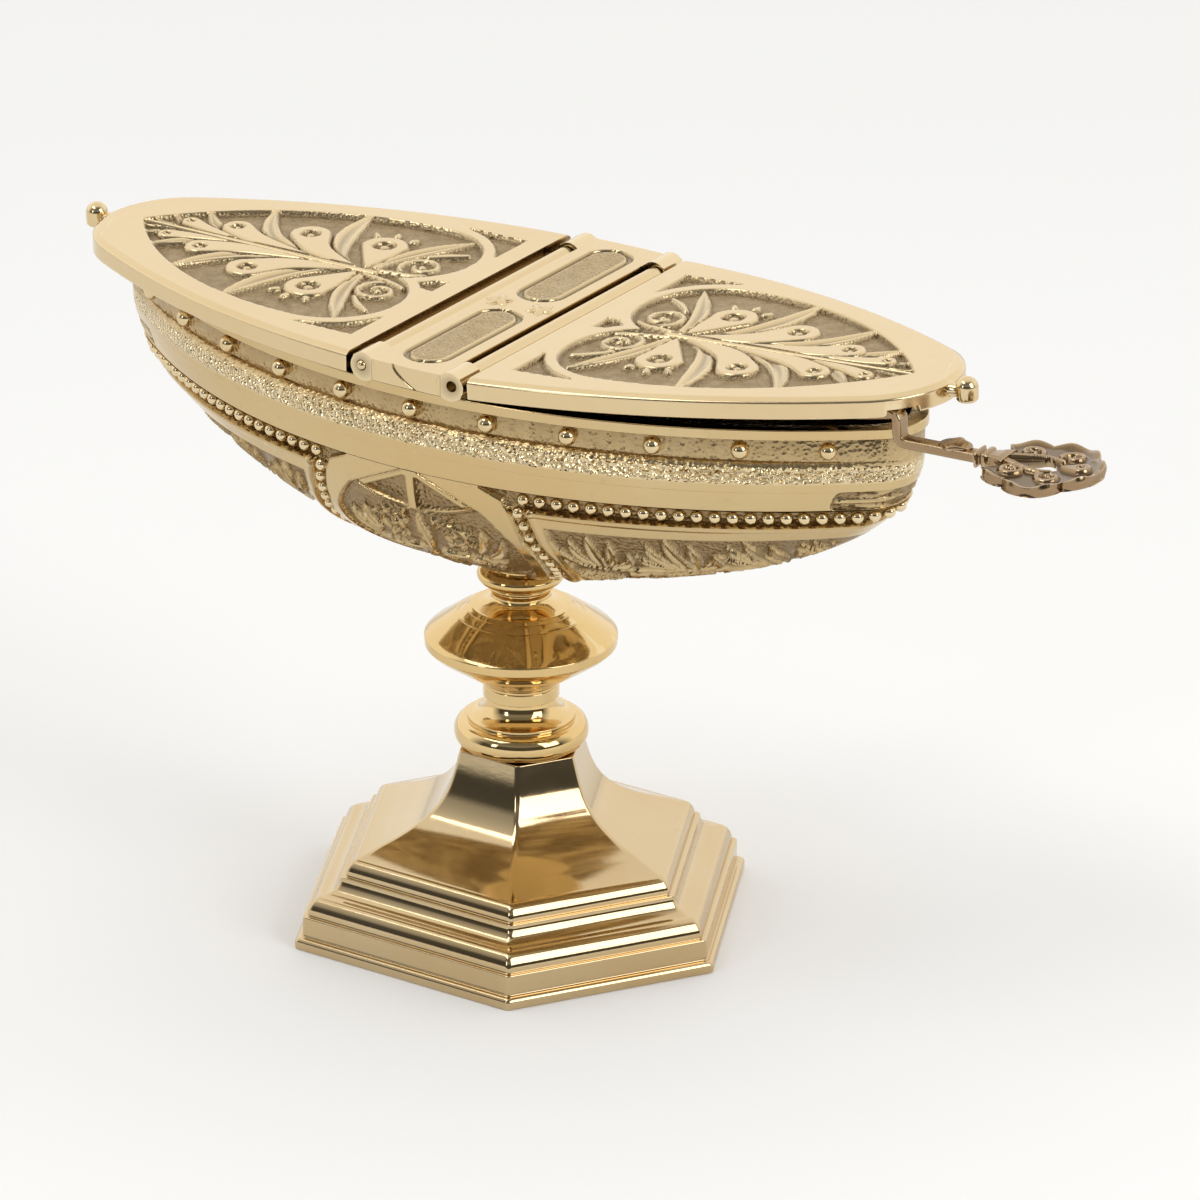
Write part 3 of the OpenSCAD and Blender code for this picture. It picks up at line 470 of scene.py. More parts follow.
turnedPiece("stem_collar", "lower_collar", [[9.28, 29.7]], halfRing(10.9, 29.7, 34.0, 1.6, 22),
            [[8.7, 34.0], [8.7, 34.7]], hollow((8.7, 34.7), (5.6, 38.0), 16)[1:], [[6.2, 38.0], [6.2, 40.0]])
turnedPiece("stem_knop", "knop",
            [[6.2, 40.0], [6.2, 40.5], [14.7, 46.3], [15.6, 47.2], [15.6, 48.6], [14.7, 49.5], [10.5, 52.3],
             [10.2, 52.3], [9.9, 52.6], [8.9, 53.2], [8.7, 53.2], [8.1, 53.7]],
            hollow((8.1, 53.7), (4.3, 55.3), 12)[1:])
turnedPiece("stem_ring", "upper_collar", [[4.3, 55.3], [4.9, 55.4], [4.9, 55.9], [4.2, 56.0], [4.2, 56.5]],
            halfRing(5.4, 56.5, 57.6, 0.8, 10), halfRing(7.1, 57.6, 60.3, 1.7, 20), [[5.2, 60.3], [5.2, 61.0]])


# Bowl

bowlSet = settings(
    a=74.0, b=31.5, tip=8.0, hullZ=97.5, hullD=37.5, holdD=34.0, wall=2.6, fullX=2.56, fullY=3.67, keelX=0.909,
    keelY=0.833, seat=61.0, floor=64.5, rim=101.2, lip=99.5, lipOut=0.6, frieze=95.6, friezeIn=1.2, fillet=91.9,
    filletOut=0.8, band=90.6, bandOut=0.3, bead=87.1, beadIn=0.9, sill=84.0, panel=81.0, prow=13.4, prowIn=0.5,
    prowLeaf=0.6, grain=0.07, around=1000)
# leaves of the sunk field at each prow: way from the tip, height
prowLeaves = [[(13, 88.8), (9.5, 89.2), (6, 90.0), (3.5, 90.3)], [(13, 88.8), (9.5, 88.4), (6, 87.7), (3.5, 87.4)],
              [(12.6, 88.8), (7, 88.9), (1.2, 88.8)]]


def sideRadius(a, b, t):
    # radius of the side arc that reaches half width b and runs into a tip arc of radius t at half length a
    return ((a - t) ** 2 + b * b - t * t) / (2 * (b - t))


def boatPlan(n):
    # boat plan of two tip arcs and two side arcs, n points at even distances from the right tip round by the back
    a, b, t = (bowlSet[key] for key in ("a", "b", "tip"))
    r = sideRadius(a, b, t)
    w = np.arctan2(r - b, a - t)
    tip = linspace(0, w, 60)
    arc = linspace(w, pi / 2, 400)[1:]
    quarter = join(columns(a - t + t * cos(tip), t * sin(tip)), columns(r * cos(arc), b - r + r * sin(arc)))
    half = join(quarter, quarter[-2::-1] * [-1, 1])
    return evenly(join(half, half[-2::-1] * [1, -1]), n + 1)[:-1]


def hullSize(z, wall=0, depth=bowlSet.hullD):
    # half length and half width at height z: both shrink by powers of the share of the depth
    s = bowlSet
    t = clip((s.hullZ - z) / depth, 0, 0.9999)
    return [(s[way] - wall) * (1 - t ** s[full]) ** s[keel]
            for way, full, keel in (("a", "fullX", "keelX"), ("b", "fullY", "keelY"))]


def hullRings(plan, z, d, tips):
    # rings of the hull: the plan scaled to the size at z and moved out by d, which fades to the tips
    # by the sixth power of x
    s = bowlSet
    a, b = hullSize(z)
    e = d[:, None] * (1 - (1 - tips[:, None]) * np.abs(plan[:, 0] / s.a) ** 6)
    return columns(plan[:, 0] * (a[:, None] + e) / s.a, plan[:, 1] * (b[:, None] + e) / s.b, z[:, None])


def upperBowl():
    # from the band's foot up over sweep, frieze and lip, then down the hold: rings from eased
    # profile points (offset, height)
    s = bowlSet
    n = s.around
    plan = boatPlan(n)
    out, zOut = eased(join([[-s.beadIn, s.bead]], columns(s.bandOut, linspace(s.bead, s.band, 13)),
                           [[s.filletOut, s.band]], bulge((s.filletOut, s.fillet), (-s.friezeIn, s.frieze), 23),
                           [[-s.friezeIn, s.lip], [s.lipOut, s.lip], [s.lipOut, s.rim], [-0.6, s.rim]]), 0.2).T
    skin = hullRings(plan, zOut, out, smooth(s.lip - 0.25, s.lip + 0.05, zOut))
    # sunk prow fields with a few leaves, where the plain band stops in a round end
    i = np.arange(n)
    tipWay = minimum(minimum(i, n - i), np.abs(i - n // 2)) * np.linalg.norm(plan[1] - plan[0])
    toTip, high = np.broadcast_arrays(tipWay, zOut[:, None])
    field = np.zeros(toTip.size)
    for points in prowLeaves:
        bandLeaf(field, toTip.ravel(), high.ravel(), points, [0.8, 1.3, 1.1, 0.3], 0.3, 0.35)
    field = field.reshape(toTip.shape)
    roundEnd = 1.3 * ((high - (s.bead + s.band) / 2) / 1.75) ** 4
    prow = (smooth(0.2, -0.2, toTip + roundEnd - s.prow) * smooth(s.bead, s.bead + 0.35, high)
            * smooth(s.band, s.band - 0.3, high))
    wall = smooth(s.fillet + 0.1, s.fillet + 0.5, high) * smooth(s.lip - 0.05, s.lip - 0.3, high)
    upright = smooth(s.frieze - 1.6, s.frieze - 0.3, high)
    x, y, z = np.moveaxis(skin, -1, 0)
    lift = prow * (s.prowLeaf * field - s.prowIn) + s.grain * wall * (
        upright * grains(x, z + y, 1.3) + (1 - upright) * grains(x, z * 1.6, 0.9))
    skin += lift[..., None] * columns(plan[:, 0] / s.a, plan[:, 1] / s.b, 0)
    # hold: from the rim straight in, then down to the floor
    k = linspace(0, pi / 2, 14)
    z = join([s.rim, s.rim - 0.25], s.floor + (s.hullZ - s.floor) * (1 - sin(k)))[:, None]
    a, b = hullSize(z, s.wall, s.holdD)
    lipEase = 0.25 * (np.arange(len(z)) == 0)[:, None]
    hold = columns(plan[:, 0] * (a + lipEase) / s.a, plan[:, 1] * (b + lipEase) / s.b, z)
    inner = np.ones((len(z) + 1, n))
    # painted shade: the frieze wall darkens just under the overhanging lip and the hold darkens inside; the sunk
    # prow ground darkens as dirt with painted shade
    masks = dict(ground=join(clip(wall * upright * 0.5 + prow * (1 - field), 0, 1), 0.5 * inner),
                 shadeAndGrime=join(wall * 0.5 * smooth(s.lip - 0.9, s.lip - 0.1, high) + 0.4 * prow * (1 - field),
                              0.25 * inner),
                 sweep=join(wall * (1 - upright), 0 * inner))
    return join(skin, hold, 0 * hold[-1:] + [0, 0, s.floor]), masks


pts, masks = upperBowl()
makePiece("bowl_rim", [tube(pts)], "castBrass", "boat", ["bowl"], masks)

# gable lines: shares of the half length at falling heights; ditch, trim and panel count from the outer line
gableSet = settings(
    innerZ=[87.3, 87.1, 82.1, 75.9, 68.0, 62.0, 61.0], inner=[0.0, 0.02, 0.181, 0.291, 0.40, 0.45, 0.46],
    outerZ=[87.3, 85.25, 77.5, 72.75, 66.0, 62.0, 61.0], outer=[0.165, 0.233, 0.30, 0.375, 0.48, 0.52, 0.53],
    rise=0.3, sunk=-0.6, leaf=0.95, grain=0.05, beadZ=83.5, beadHalf=0.55, beadUp=0.35, ditch=0.7, ditchEnd=2.9,
    trim=3.4, trimHalf=0.5, trimUp=0.3, panel=4.8, reach=14.0, archZ=80.4, archBend=0.02, bar=1.0, hem=0.45,
    lancet=0.35, lowFrom=12, lowTo=17, lowBy=0.6)
# foliage in x and girth below the panel's edge: palms stand on a foot (x, girth, size), vines run
# between them, scrolls and leaves fill the gable
sidePalms = [(28.8, 9.0, 1.0), (40.4, 9.0, 1.05), (51.4, 8.4, 0.95), (60.0, 5.6, 0.6), (22.4, 12.2, -1.0),
             (34.6, 12.4, -1.1), (46.0, 12.0, -1.0), (55.4, 10.2, -0.6), (16.0, 26.5, 0.9), (28.0, 27.0, 1.0)]
palmHalf = [((1.0, 1.8, 1.4, 0.4), [(0.6, 0), (4.0, 0.9), (5.2, 4.0)]),
            ((1.0, 2.0, 1.7, 0.4), [(0.4, 0.2), (2.5, 3.0), (3.0, 6.8)])]
palmLeaves = [(widths, [(way * x, y) for x, y in points]) for widths, points in palmHalf for way in (-1, 1)]
palmLeaves.append(((1.2, 2.4, 2.0, 0.5), [(0, 0), (0, 4.0), (0, 8.2)]))
sideVines = [[(29, 9.6), (34.6, 11.2), (40.2, 9.6)], [(40.6, 9.6), (46, 11), (51.2, 9.2)],
             [(51.6, 9.0), (55.6, 9.2), (59.8, 6.2)], [(23.6, 5.0), (25.6, 9), (28.6, 9.8)]]
gableScrolls = [((5.6, 5.9), 3.0, 200, 1.2), ((7.4, 16.4), 2.8, 160, -1.2)]
gableLeaves = [([1.2, 2.4, 1.8, 0.4], [(0, 10.2), (0, 6), (0, 1.8)]),
               ([1.0, 1.8, 1.5, 0.4], [(9.6, 8.6), (11.2, 6.0), (11.0, 3.2)]),
               ([1.0, 1.8, 1.5, 0.4], [(10.6, 10.2), (13.4, 8.2), (14.2, 5.0)]),
               ([1.0, 1.8, 1.5, 0.4], [(1.6, 11.4), (5.4, 11.2), (9.0, 12.2), (12.8, 11.6)]),
               ([1.0, 1.8, 1.5, 0.4], [(1.0, 21), (1.8, 16), (1.2, 11.8)]),
               ([1.0, 1.7, 1.4, 0.4], [(3.0, 24), (9.0, 22.4), (14.0, 17)])]


def gableLine(line, z):
    # share of the half length at which a gable's inner or outer line runs at height z
    return interp(z, gableSet[line + "Z"][::-1], gableSet[line][::-1])


def girthDown(b, z):
    # length along the middle section from the first height down to each
    return join([0], np.cumsum(hypot(np.diff(b), np.diff(z))))


def lowerBowl(front):
    # half of the hull under the band: rings from the band's foot to the seat, moved along their normals
    # by mouldings and foliage
    s, g = bowlSet, gableSet
    plan = boatPlan(1300)[:651] * [1, -1 if front else 1]
    deepZ = linspace(s.panel - 0.4, s.seat, 2000)
    girth = girthDown(hullSize(deepZ)[1], deepZ)
    at = join(linspace(0, 10, 43), linspace(10, girth[-1], 52)[1:])   # rows closer together where they are seen
    z = join(linspace(s.bead, s.panel - 0.4, 36)[:-1], interp(at, girth, deepZ))
    base = hullRings(plan, z, 0 * z, 0 * z)
    normal = np.cross(np.gradient(base, axis=1), np.gradient(base, axis=0))
    normal /= np.linalg.norm(normal, axis=-1, keepdims=True) + 1e-12
    normal *= np.sign(np.median(np.sum(normal * base * [1, 1, 0], -1)))
    a, b = hullSize(z)
    below = girthDown(b, z)
    f, zz, down = np.broadcast_arrays(np.abs(plan[:, 0] / s.a), z[:, None], below[:, None])
    x = f * a[:, None]
    lines = []
    for line in ("inner", "outer"):
        edge = gableLine(line, z)
        dist = np.full(f.size, g.reach)
        pick, d, t = nearPath(x.ravel(), down.ravel(), columns(edge * a, below), g.reach)
        dist[pick] = minimum(d, g.reach)
        lines.append(dist.reshape(f.shape) * np.sign(f - edge[:, None]))
    inLine, outLine = lines
    outside = smooth(-0.15, 0.15, outLine)
    inside = smooth(0.15, -0.15, inLine)
    # mouldings beside the gable: pearl groove, bright line, fillet, then the sunk panel
    upper = zz > s.sill
    groove = smooth(s.sill - 0.1, s.sill + 0.1, zz) * (1 - smooth(s.bead - 0.2, s.bead, zz))
    level = np.where(upper, s.bandOut - (s.bandOut + s.beadIn) * groove,
                     s.bandOut * (1 - f ** 6) + g.beadUp * hump(zz, g.beadZ, g.beadHalf))
    slant = clip(outLine, 0, None)
    ditch = outside * smooth(0.05, 0.35, slant) * smooth(g.ditchEnd, g.ditchEnd - 0.3, slant) * ~upper
    trim = hump(slant, g.trim, g.trimHalf)
    panel = smooth(s.panel + 0.1, s.panel - 0.2, zz) * smooth(g.panel, g.panel + 0.4, slant)
    # foliage coordinates: x, and the girth below the panel's upper edge
    fx, fy = x.ravel(), (down - interp(-s.panel, -z, below)).ravel()
    side, mid = np.zeros(f.size), np.zeros(f.size)
    for cx, cy, size in sidePalms:
        for widths, points in palmLeaves:
            bandLeaf(side, fx, fy, [(cx + abs(size) * p, cy - size * q) for p, q in points],
                     [abs(size) * k for k in widths], 0.55, 0.4, 0.22)
    for points in sideVines:
        bandLeaf(side, fx, fy, points, [0.9, 1.3, 0.9], 0.2, 0.4, 0.22)
    for widths, points in gableLeaves:
        bandLeaf(mid, fx, fy, points, widths, 0.5, 0.4, 0.2)
    for scroll in gableScrolls:
        acanthus(mid, fx, fy, *scroll)
    mid *= 1 - g.lowBy * smooth(g.lowFrom, g.lowTo, fy)   # keeps the outline even towards the stem
    side, mid = side.reshape(f.shape), mid.reshape(f.shape)
    # two lancet fields under the gable's point, a bar between them and a hem below
    arch = g.archZ + g.archBend * x ** 2
    aboveArch = smooth(arch, arch + 0.4, zz)
    lancet = smooth(g.bar, g.bar + 0.3, x) * smooth(-0.9, -1.3, inLine) * aboveArch * inside
    bars = maximum(smooth(g.bar, g.bar - 0.25, x) * smooth(g.archZ - 0.8, g.archZ, zz),
                   smooth(-1.3, -1.0, inLine) * aboveArch)
    hem = np.exp(-((zz - arch + 0.4) / g.hem) ** 2) * smooth(g.bar - 0.4, g.bar, x)
    mid = maximum(mid * smooth(arch + 0.2, arch - 0.3, zz), maximum(bars, hem) * inside)
    height = (1 - outside) * (1 - inside) * g.rise + outside * level
    height = height * (1 - ditch) - g.ditch * ditch + outside * g.trimUp * trim * ~upper
    height = height * (1 - panel) + panel * (g.sunk + g.leaf * side)
    height = height * (1 - inside) + inside * (g.sunk + g.leaf * mid - g.lancet * lancet)
    height *= smooth(s.seat, s.seat + 1.2, zz) * smooth(1.0, 0.97, f * ~upper)
    bare, hidden, carved = (panel * smooth(lo, hi, side) + inside * smooth(lo, hi, mid)
                            for lo, hi in ((0.55, 0.2), (0.6, 0.1), (0.3, 0.7)))
    bare = clip(bare, 0, 1)
    height += bare * g.grain * grains(x * 1.1, down, 0.8)
    # the darkening mask is dirt with painted shade in the bare sunk ground, the pearl groove and the ditch
    masks = dict(ground=clip(0.8 * bare + outside * groove * upper * 0.7, 0, 1),
                 shadeAndGrime=clip(0.45 * hidden + 0.5 * outside * groove + 0.4 * ditch, 0, 0.85),
                 carved=clip(carved, 0, 1))
    return base + normal * height[..., None], masks


for front in (True, False):
    pts, masks = lowerBowl(front)
    makePiece("hull_front" if front else "hull_back", [sheet(pts)], "castBrass", "boat", (), masks,
              crease=55)

pearlSet = settings(
    r=1.12, pitch=2.8, z=85.5, depth=0.5, away=2.6, slantR=1.05, slantPitch=2.5, slantAway=1.55, slantTop=83.4,
    slantEnd=63.5, shrink=0.4, sink=0.35)


def pearlRows(p):
    # pearls at even distances along the groove and down both slants of every gable, each facing out from the hull
    s = bowlSet
    half = boatPlan(4000)[:1001]
    row = hullRings(half, *(np.array([v]) for v in (p.z, -p.depth, 0.0)))[0]
    start = gableLine("outer", p.z) * s.a + p.away
    flat = evenly(row[row[:, 0] > start][::-1], step=p.pitch)
    z = linspace(p.slantTop, p.slantEnd, 400)
    a, b = hullSize(z)
    x = gableLine("outer", z) * a + p.slantAway
    y = interp(clip(x / a, 0, 1) * s.a, *half[np.argsort(half[:, 0])].T) * b / s.b
    slant = evenly(columns(x, y, z), step=p.slantPitch)
    radii = join(np.full(len(flat), p.r), p.slantR - linspace(0, p.shrink, len(slant)))
    pts = join(flat, slant)
    lean = clip((s.hullZ - pts[:, 2]) / s.hullD, 0, 1) ** 2.4
    axis = unit(columns(pts[:, 0] / s.a ** 1.9 * 20, pts[:, 1] / s.b, -lean * 1.3))
    pts = pts - axis * p.sink
    flips = np.array([[1, 1, 1], [-1, 1, 1], [1, -1, 1], [-1, -1, 1]])[:, None]
    return domes((pts * flips).reshape(-1, 3), (axis * flips).reshape(-1, 3), np.tile(radii, 4))


makePiece("hull_pearls", pearlRows(pearlSet), "pearlBrass", "boat", (), crease=80)

studSet = settings(r=1.5, pitch=13.75, count=11, z=97.4, seat=1.0)


def studRow(s):
    # studs along both side arcs at even angles, each a dome facing straight out
    b = bowlSet
    r = sideRadius(b.a, b.b, b.tip)
    w = pi / 2 - (np.arange(s.count) - (s.count - 1) / 2) * s.pitch / r
    far = r + s.r - s.seat - b.friezeIn
    flips = np.array([[1, 1, 1], [1, -1, 1]])[:, None]
    centres = columns(far * cos(w), b.b - r + far * sin(w), s.z) * flips
    axes = columns(cos(w), sin(w), 0) * flips
    return domes(centres.reshape(-1, 3), axes.reshape(-1, 3), np.full(2 * s.count, s.r), 20, 10)


makePiece("studs", studRow(studSet), "pearlBrass", "boat", ["frieze_studs"], crease=80)


# Lids

lidSet = settings(
    a=80.0, b=32.4, tip=15.4, low=101.35, top=104.75, plate=2.3, skirt=2.6, bevelW=1.1, ajar=3.6, border=6.6,
    lobeX=28.6, lobeR=12.0, cusp=5.5, rail=2.0, hingeRail=3.9, cornerW=11.0, cornerL=9.0, middle=2.4, sunk=0.9,
    leaf=0.84, grain=0.05, edgeX=11.4, hingeX=8.5, hingeZ=103.15, barrel=1.6, bore=0.95, barrelY=26.2,
    notchY=(-11.3, -6.7), notchX=69.8, tipShare=0.76, shade=0.85)
# the rim's section: inset and drop from the top, then inset and rise from the lower edge
lidBevel = [(1.1, 0), (0.85, 0.09), (0.3, 0.42), (0.08, 0.56), (0.0, 0.72), (0.0, 0.95)]
lidFoot = [(0.0, 0.4), (0.0, 0.22), (0.07, 0.07), (0.22, 0)]
# one half of the palmette, x along the lid and y from its middle line
lidBands = [([(64, 0.2), (69, 0.6), (72, 1.6)], [0.6, 1.0, 0.5]),
            ([(58, 0.4), (64, 1.2), (68, 2.8), (70.6, 4.8)], [0.7, 1.2, 1.7, 0.6]),
            ([(49, 0.5), (56, 1.6), (61.4, 3.9), (64.4, 6.6), (66.8, 9.4)], [0.9, 1.6, 2.4, 2.2, 0.8]),
            ([(38, 0.6), (45.4, 2), (51, 4.6), (54.4, 8.6), (56.4, 12.4), (57.6, 15.6)],
             [1.1, 2.0, 3.0, 3.4, 2.6, 0.9]),
            ([(31.5, 0.6), (36, 2.4), (39.4, 6.6), (41.6, 12), (42.6, 17), (43, 21.4)],
             [1.1, 2.2, 3.4, 3.9, 3.1, 1.0]),
            ([(29.4, 0.6), (29, 5.5), (27.2, 11), (24.8, 15.5), (22.2, 19.8)], [1.3, 2.2, 3.0, 2.7, 0.8])]
lidDrops = [([(66.3, 3.4), (62, 1.9), (55, 0.9)], 1.4, 0.7),
            ([(58.4, 5.3), (53.5, 2.6), (46, 1.3), (40, 0.7)], 2.4, 1.15),
            ([(46.6, 9.0), (42.5, 4.2), (37, 2), (32, 0.8)], 3.3, 1.6),
            ([(33.4, 10.8), (31.8, 5.5), (30.6, 1.2)], 3.8, 1.9)]
lidFringe = [[(31.2, 14.6), (30.4, 15.8)], [(34.2, 15.3), (34.4, 16.6)], [(36.8, 13.9), (37.8, 15.0)],
             [(24.6, 10.6), (22.6, 12.8), (19.6, 14.6)]]


def lidEdge(e, share):
    # point of the lid's curved edge, drawn in by e, at a share of the way from the hinge side to the tip:
    # side arc, then tip arc
    s = lidSet
    a, b, t = s.a - e, s.b - e, s.tip - e
    r = sideRadius(a, b, t)
    w = np.arctan2(r - b, a - t)
    v = np.arccos(s.edgeX / r)
    cut = s.tipShare
    onTip = share >= cut
    angle = np.where(onTip, w * (1 - (share - cut) / (1 - cut)), v + (w - v) * share / cut)
    return (np.where(onTip, a - t + t * cos(angle), r * cos(angle)),
            np.where(onTip, t * sin(angle), b - r + r * sin(angle)))


def sunkPanel(x, y):
    # distance into the sunk fields: pointed arch to the tip, two lobes to the hinge;
    # two corner triangles and a small middle one
    s = lidSet
    ay = np.abs(y)
    lobeY = np.sqrt(s.lobeR ** 2 - s.cusp ** 2)
    archL, archH = s.a - s.border - s.lobeX, lobeY + s.lobeR
    archR = (archL ** 2 + archH ** 2) / (2 * archH)
    arch = archR - hypot(x - s.lobeX, ay + archR - archH)
    toLobe = hypot(x - s.lobeX, ay - lobeY)
    panel = np.where(x >= s.lobeX, arch, s.lobeR - toLobe)
    inner = s.edgeX + s.hingeRail
    r = sideRadius(s.a, s.b, s.tip)
    far = s.b - r + np.sqrt(r * r - inner * inner) - s.border
    free = toLobe - s.lobeR - s.rail
    w, l, run = s.cornerW, s.cornerL, s.lobeX - inner
    slope = (1 - (x - inner) / w - (far - ay) / l) * w * l / hypot(w, l)
    corner = minimum(minimum(x - inner, far - ay), minimum(free, slope))
    point = (s.middle * (s.lobeX - x) - run * ay) / hypot(s.middle, run)
    return panel, maximum(corner, minimum(minimum(x - inner, free), point))


def palmette(x, y):
    # carved field on the panel, the same on both halves: bands, drop leaves, fringe, scroll and the middle stem
    fx, fy = x.ravel(), np.abs(y).ravel()
    field = np.zeros(fx.size)
    for points, widths in lidBands:
        bandLeaf(field, fx, fy, points, widths, 0.5)
    for points in lidFringe:
        bandLeaf(field, fx, fy, points, [1.1, 1.5, 1.0], 0.1, 0.3)
    for drop in lidDrops:
        dropLeaf(field, fx, fy, *drop)
    curl(field, fx, fy, (23, 6.3), 4.3, 1.3, -125, 1.3, 1.2)
    bandLeaf(field, fx, fy, [(20.4, 3.2), (23, 2), (26.5, 1.6), (30, 0.6)], [0.9, 1.1, 1.2], 0.1, 0.4)
    bandLeaf(field, fx, fy, [(28, 0), (50, 0), (73, 0)], [1.4, 1.1, 0.7], 0.0, 0.35)
    return field.reshape(x.shape)


def lidShells(notched):
    # top: rows straight across between the two edges, sunk and carved by distance fields;
    # rim rings, underside, hinge barrel and the web between barrel and plate
    s = lidSet
    share = linspace(0, 1, 310)
    n = len(share)
    u = linspace(-1, 1, 251)
    ex, ey = lidEdge(s.bevelW, share)
    x, y = ex[:, None] + 0 * u, ey[:, None] * u
    panel, small = sunkPanel(x, y)
    leaf = palmette(x, y)
    deep = smooth(-0.1, 0.45, panel)
    deepSmall = smooth(-0.1, 0.4, small)
    bare = clip(deep * smooth(0.55, 0.2, leaf) + deepSmall, 0, 1)
    height = (-s.sunk * maximum(deep, deepSmall) + s.leaf * leaf * deep
              + bare * s.grain * grains(x, y, 0.75) + 0.14 * deepSmall * grains(x, y, 1.7))
    # dirt with painted shade: along the walls of the sunk fields, as dark outlines round the carved leaves, and in
    # the small fields
    dirt = clip(0.5 * deep * smooth(0.6, 0.1, leaf) * smooth(1.6, 0.2, panel)
                + 0.65 * deep * smooth(0.8, 0.4, leaf) * smooth(0.0, 0.15, leaf)
                + 0.5 * deepSmall * smooth(0.9, 0.2, small), 0, 0.8)
    plateZ = s.top - s.plate
    steps = ([(e, s.top - z) for e, z in lidBevel] + [(e, s.low + z) for e, z in lidFoot]
             + [(s.skirt, s.low), (s.skirt, plateZ)])
    rings = []
    for e, z in steps:
        px, py = lidEdge(e, share)
        px = maximum(px, s.edgeX + (e if e == s.skirt else 0))
        rx, ry = join(columns(px, -py), columns(px, py)[::-1], columns(px[0], py[0] * u)[-2:0:-1]).T
        inNotch = (ry > s.notchY[0]) & (ry < s.notchY[1]) & (rx > s.notchX)
        rings.append(columns(rx, ry, np.where(inNotch & notched, max(z, plateZ), z)))
    rim = np.stack(rings)
    # painted shade on the rim faces that look into the hinge gap
    hingeSide = s.shade * (np.arange(len(rim))[:, None] > 1) * (np.arange(rim.shape[1]) >= 2 * n)
    under = np.stack([rim[-1][:n], rim[-1][n:2 * n][::-1]], 1)
    w = fullTurn(40)
    long = s.barrelY
    r, along = eased([[s.bore, -long], [s.barrel, -long], [s.barrel, long], [s.bore, long]],
                     0.2, closed=True).T[:, :, None]
    barrel = columns(s.hingeX + r * cos(w), along, s.hingeZ + r * sin(w))
    near, far, webTop = s.hingeX - 0.6, s.edgeX + 0.6, s.hingeZ - 0.15
    web = columns([near, far, far, near], [[-long], [-long], [long], [long]], [s.low, s.low, webTop, webTop])
    web[[0, 3]] = web[[0, 3]].mean(1, keepdims=True)
    masks = dict(ground=bare, carved=deep * smooth(0.4, 0.8, leaf), shadeAndGrime=join(dirt.ravel(), hingeSide.ravel()))
    top = columns(x, y, s.top + height)
    return [sheet(top), tube(rim), sheet(under), tube(barrel, True), tube(web)], masks


def placeLid(shells, left):
    # the left lid is the mirror image; the right one is turned up about its hinge line by the ajar angle
    s = lidSet
    if left:
        return [(p * [-1, 1, 1], q[:, ::-1]) for p, q in shells]
    w = radians(s.ajar)
    turn = np.array([[cos(w), 0, sin(w)], [0, 1, 0], [-sin(w), 0, cos(w)]])
    pivot = np.array([s.hingeX, 0, s.hingeZ])
    return [((p - pivot) @ turn + pivot, q) for p, q in shells]


lugSet = settings(x=82.8, z=103.35, r=1.8, h=3.6, neckR=1.1, neckDrop=0.3)


def lugShells(s):
    # upright turned lug with a rounded top, and a swelling neck laid along x
    z0 = s.z - s.h / 2
    k = linspace(0, pi / 2, 12)
    body = join([[0, z0], [1.4, z0], [1.72, z0 + 0.35], [s.r, z0 + 1.2]],
                columns(s.r * cos(k), z0 + 2.3 + 1.7 * sin(k)))
    pts = lathe(eased(body, 0.15), 36) + [s.x, 0, 0]
    neck = [[0, 79.6], [1.35, 79.6], [1.25, 80.1], [s.neckR, 80.7], [s.neckR, 81.6], [0, 81.6]]
    bar = lathe(neck, 28)[..., [2, 0, 1]] + [0, 0, s.z - s.neckDrop]
    return [tube(pts), tube(bar)]


for side in ("left", "right"):
    left = side == "left"
    shells, masks = lidShells(not left)
    makePiece("lid_" + side, placeLid(shells, left), "lidBrass", side + "_cover", [side + "_lid"],
              masks, crease=50)
    makePiece("lug_" + side, placeLid(lugShells(lugSet), left), "pearlBrass", side + "_cover", [side + "_lid_lug"])


# Bridge

bridgeSet = settings(
    deck=6.5, low=101.2, top=104.75, drawIn=0.15, cartW=8.7, cartL=27.0, cartY=16.0, line=1.3, depth=0.5,
    flowerX=3.9, flowerUp=0.55, seamIn=0.006, knuckleY=26.5, reach=10.1, pin=0.91, pinEnd=0.86, pinSink=0.3)


def bridgeEnd(x):
    # half width of the bridge at x: the side arc of the lids' plan, a little drawn in
    b = lidSet.b - bridgeSet.drawIn
    r = sideRadius(lidSet.a, b, lidSet.tip)
    return b - r + np.sqrt(r * r - x * x)


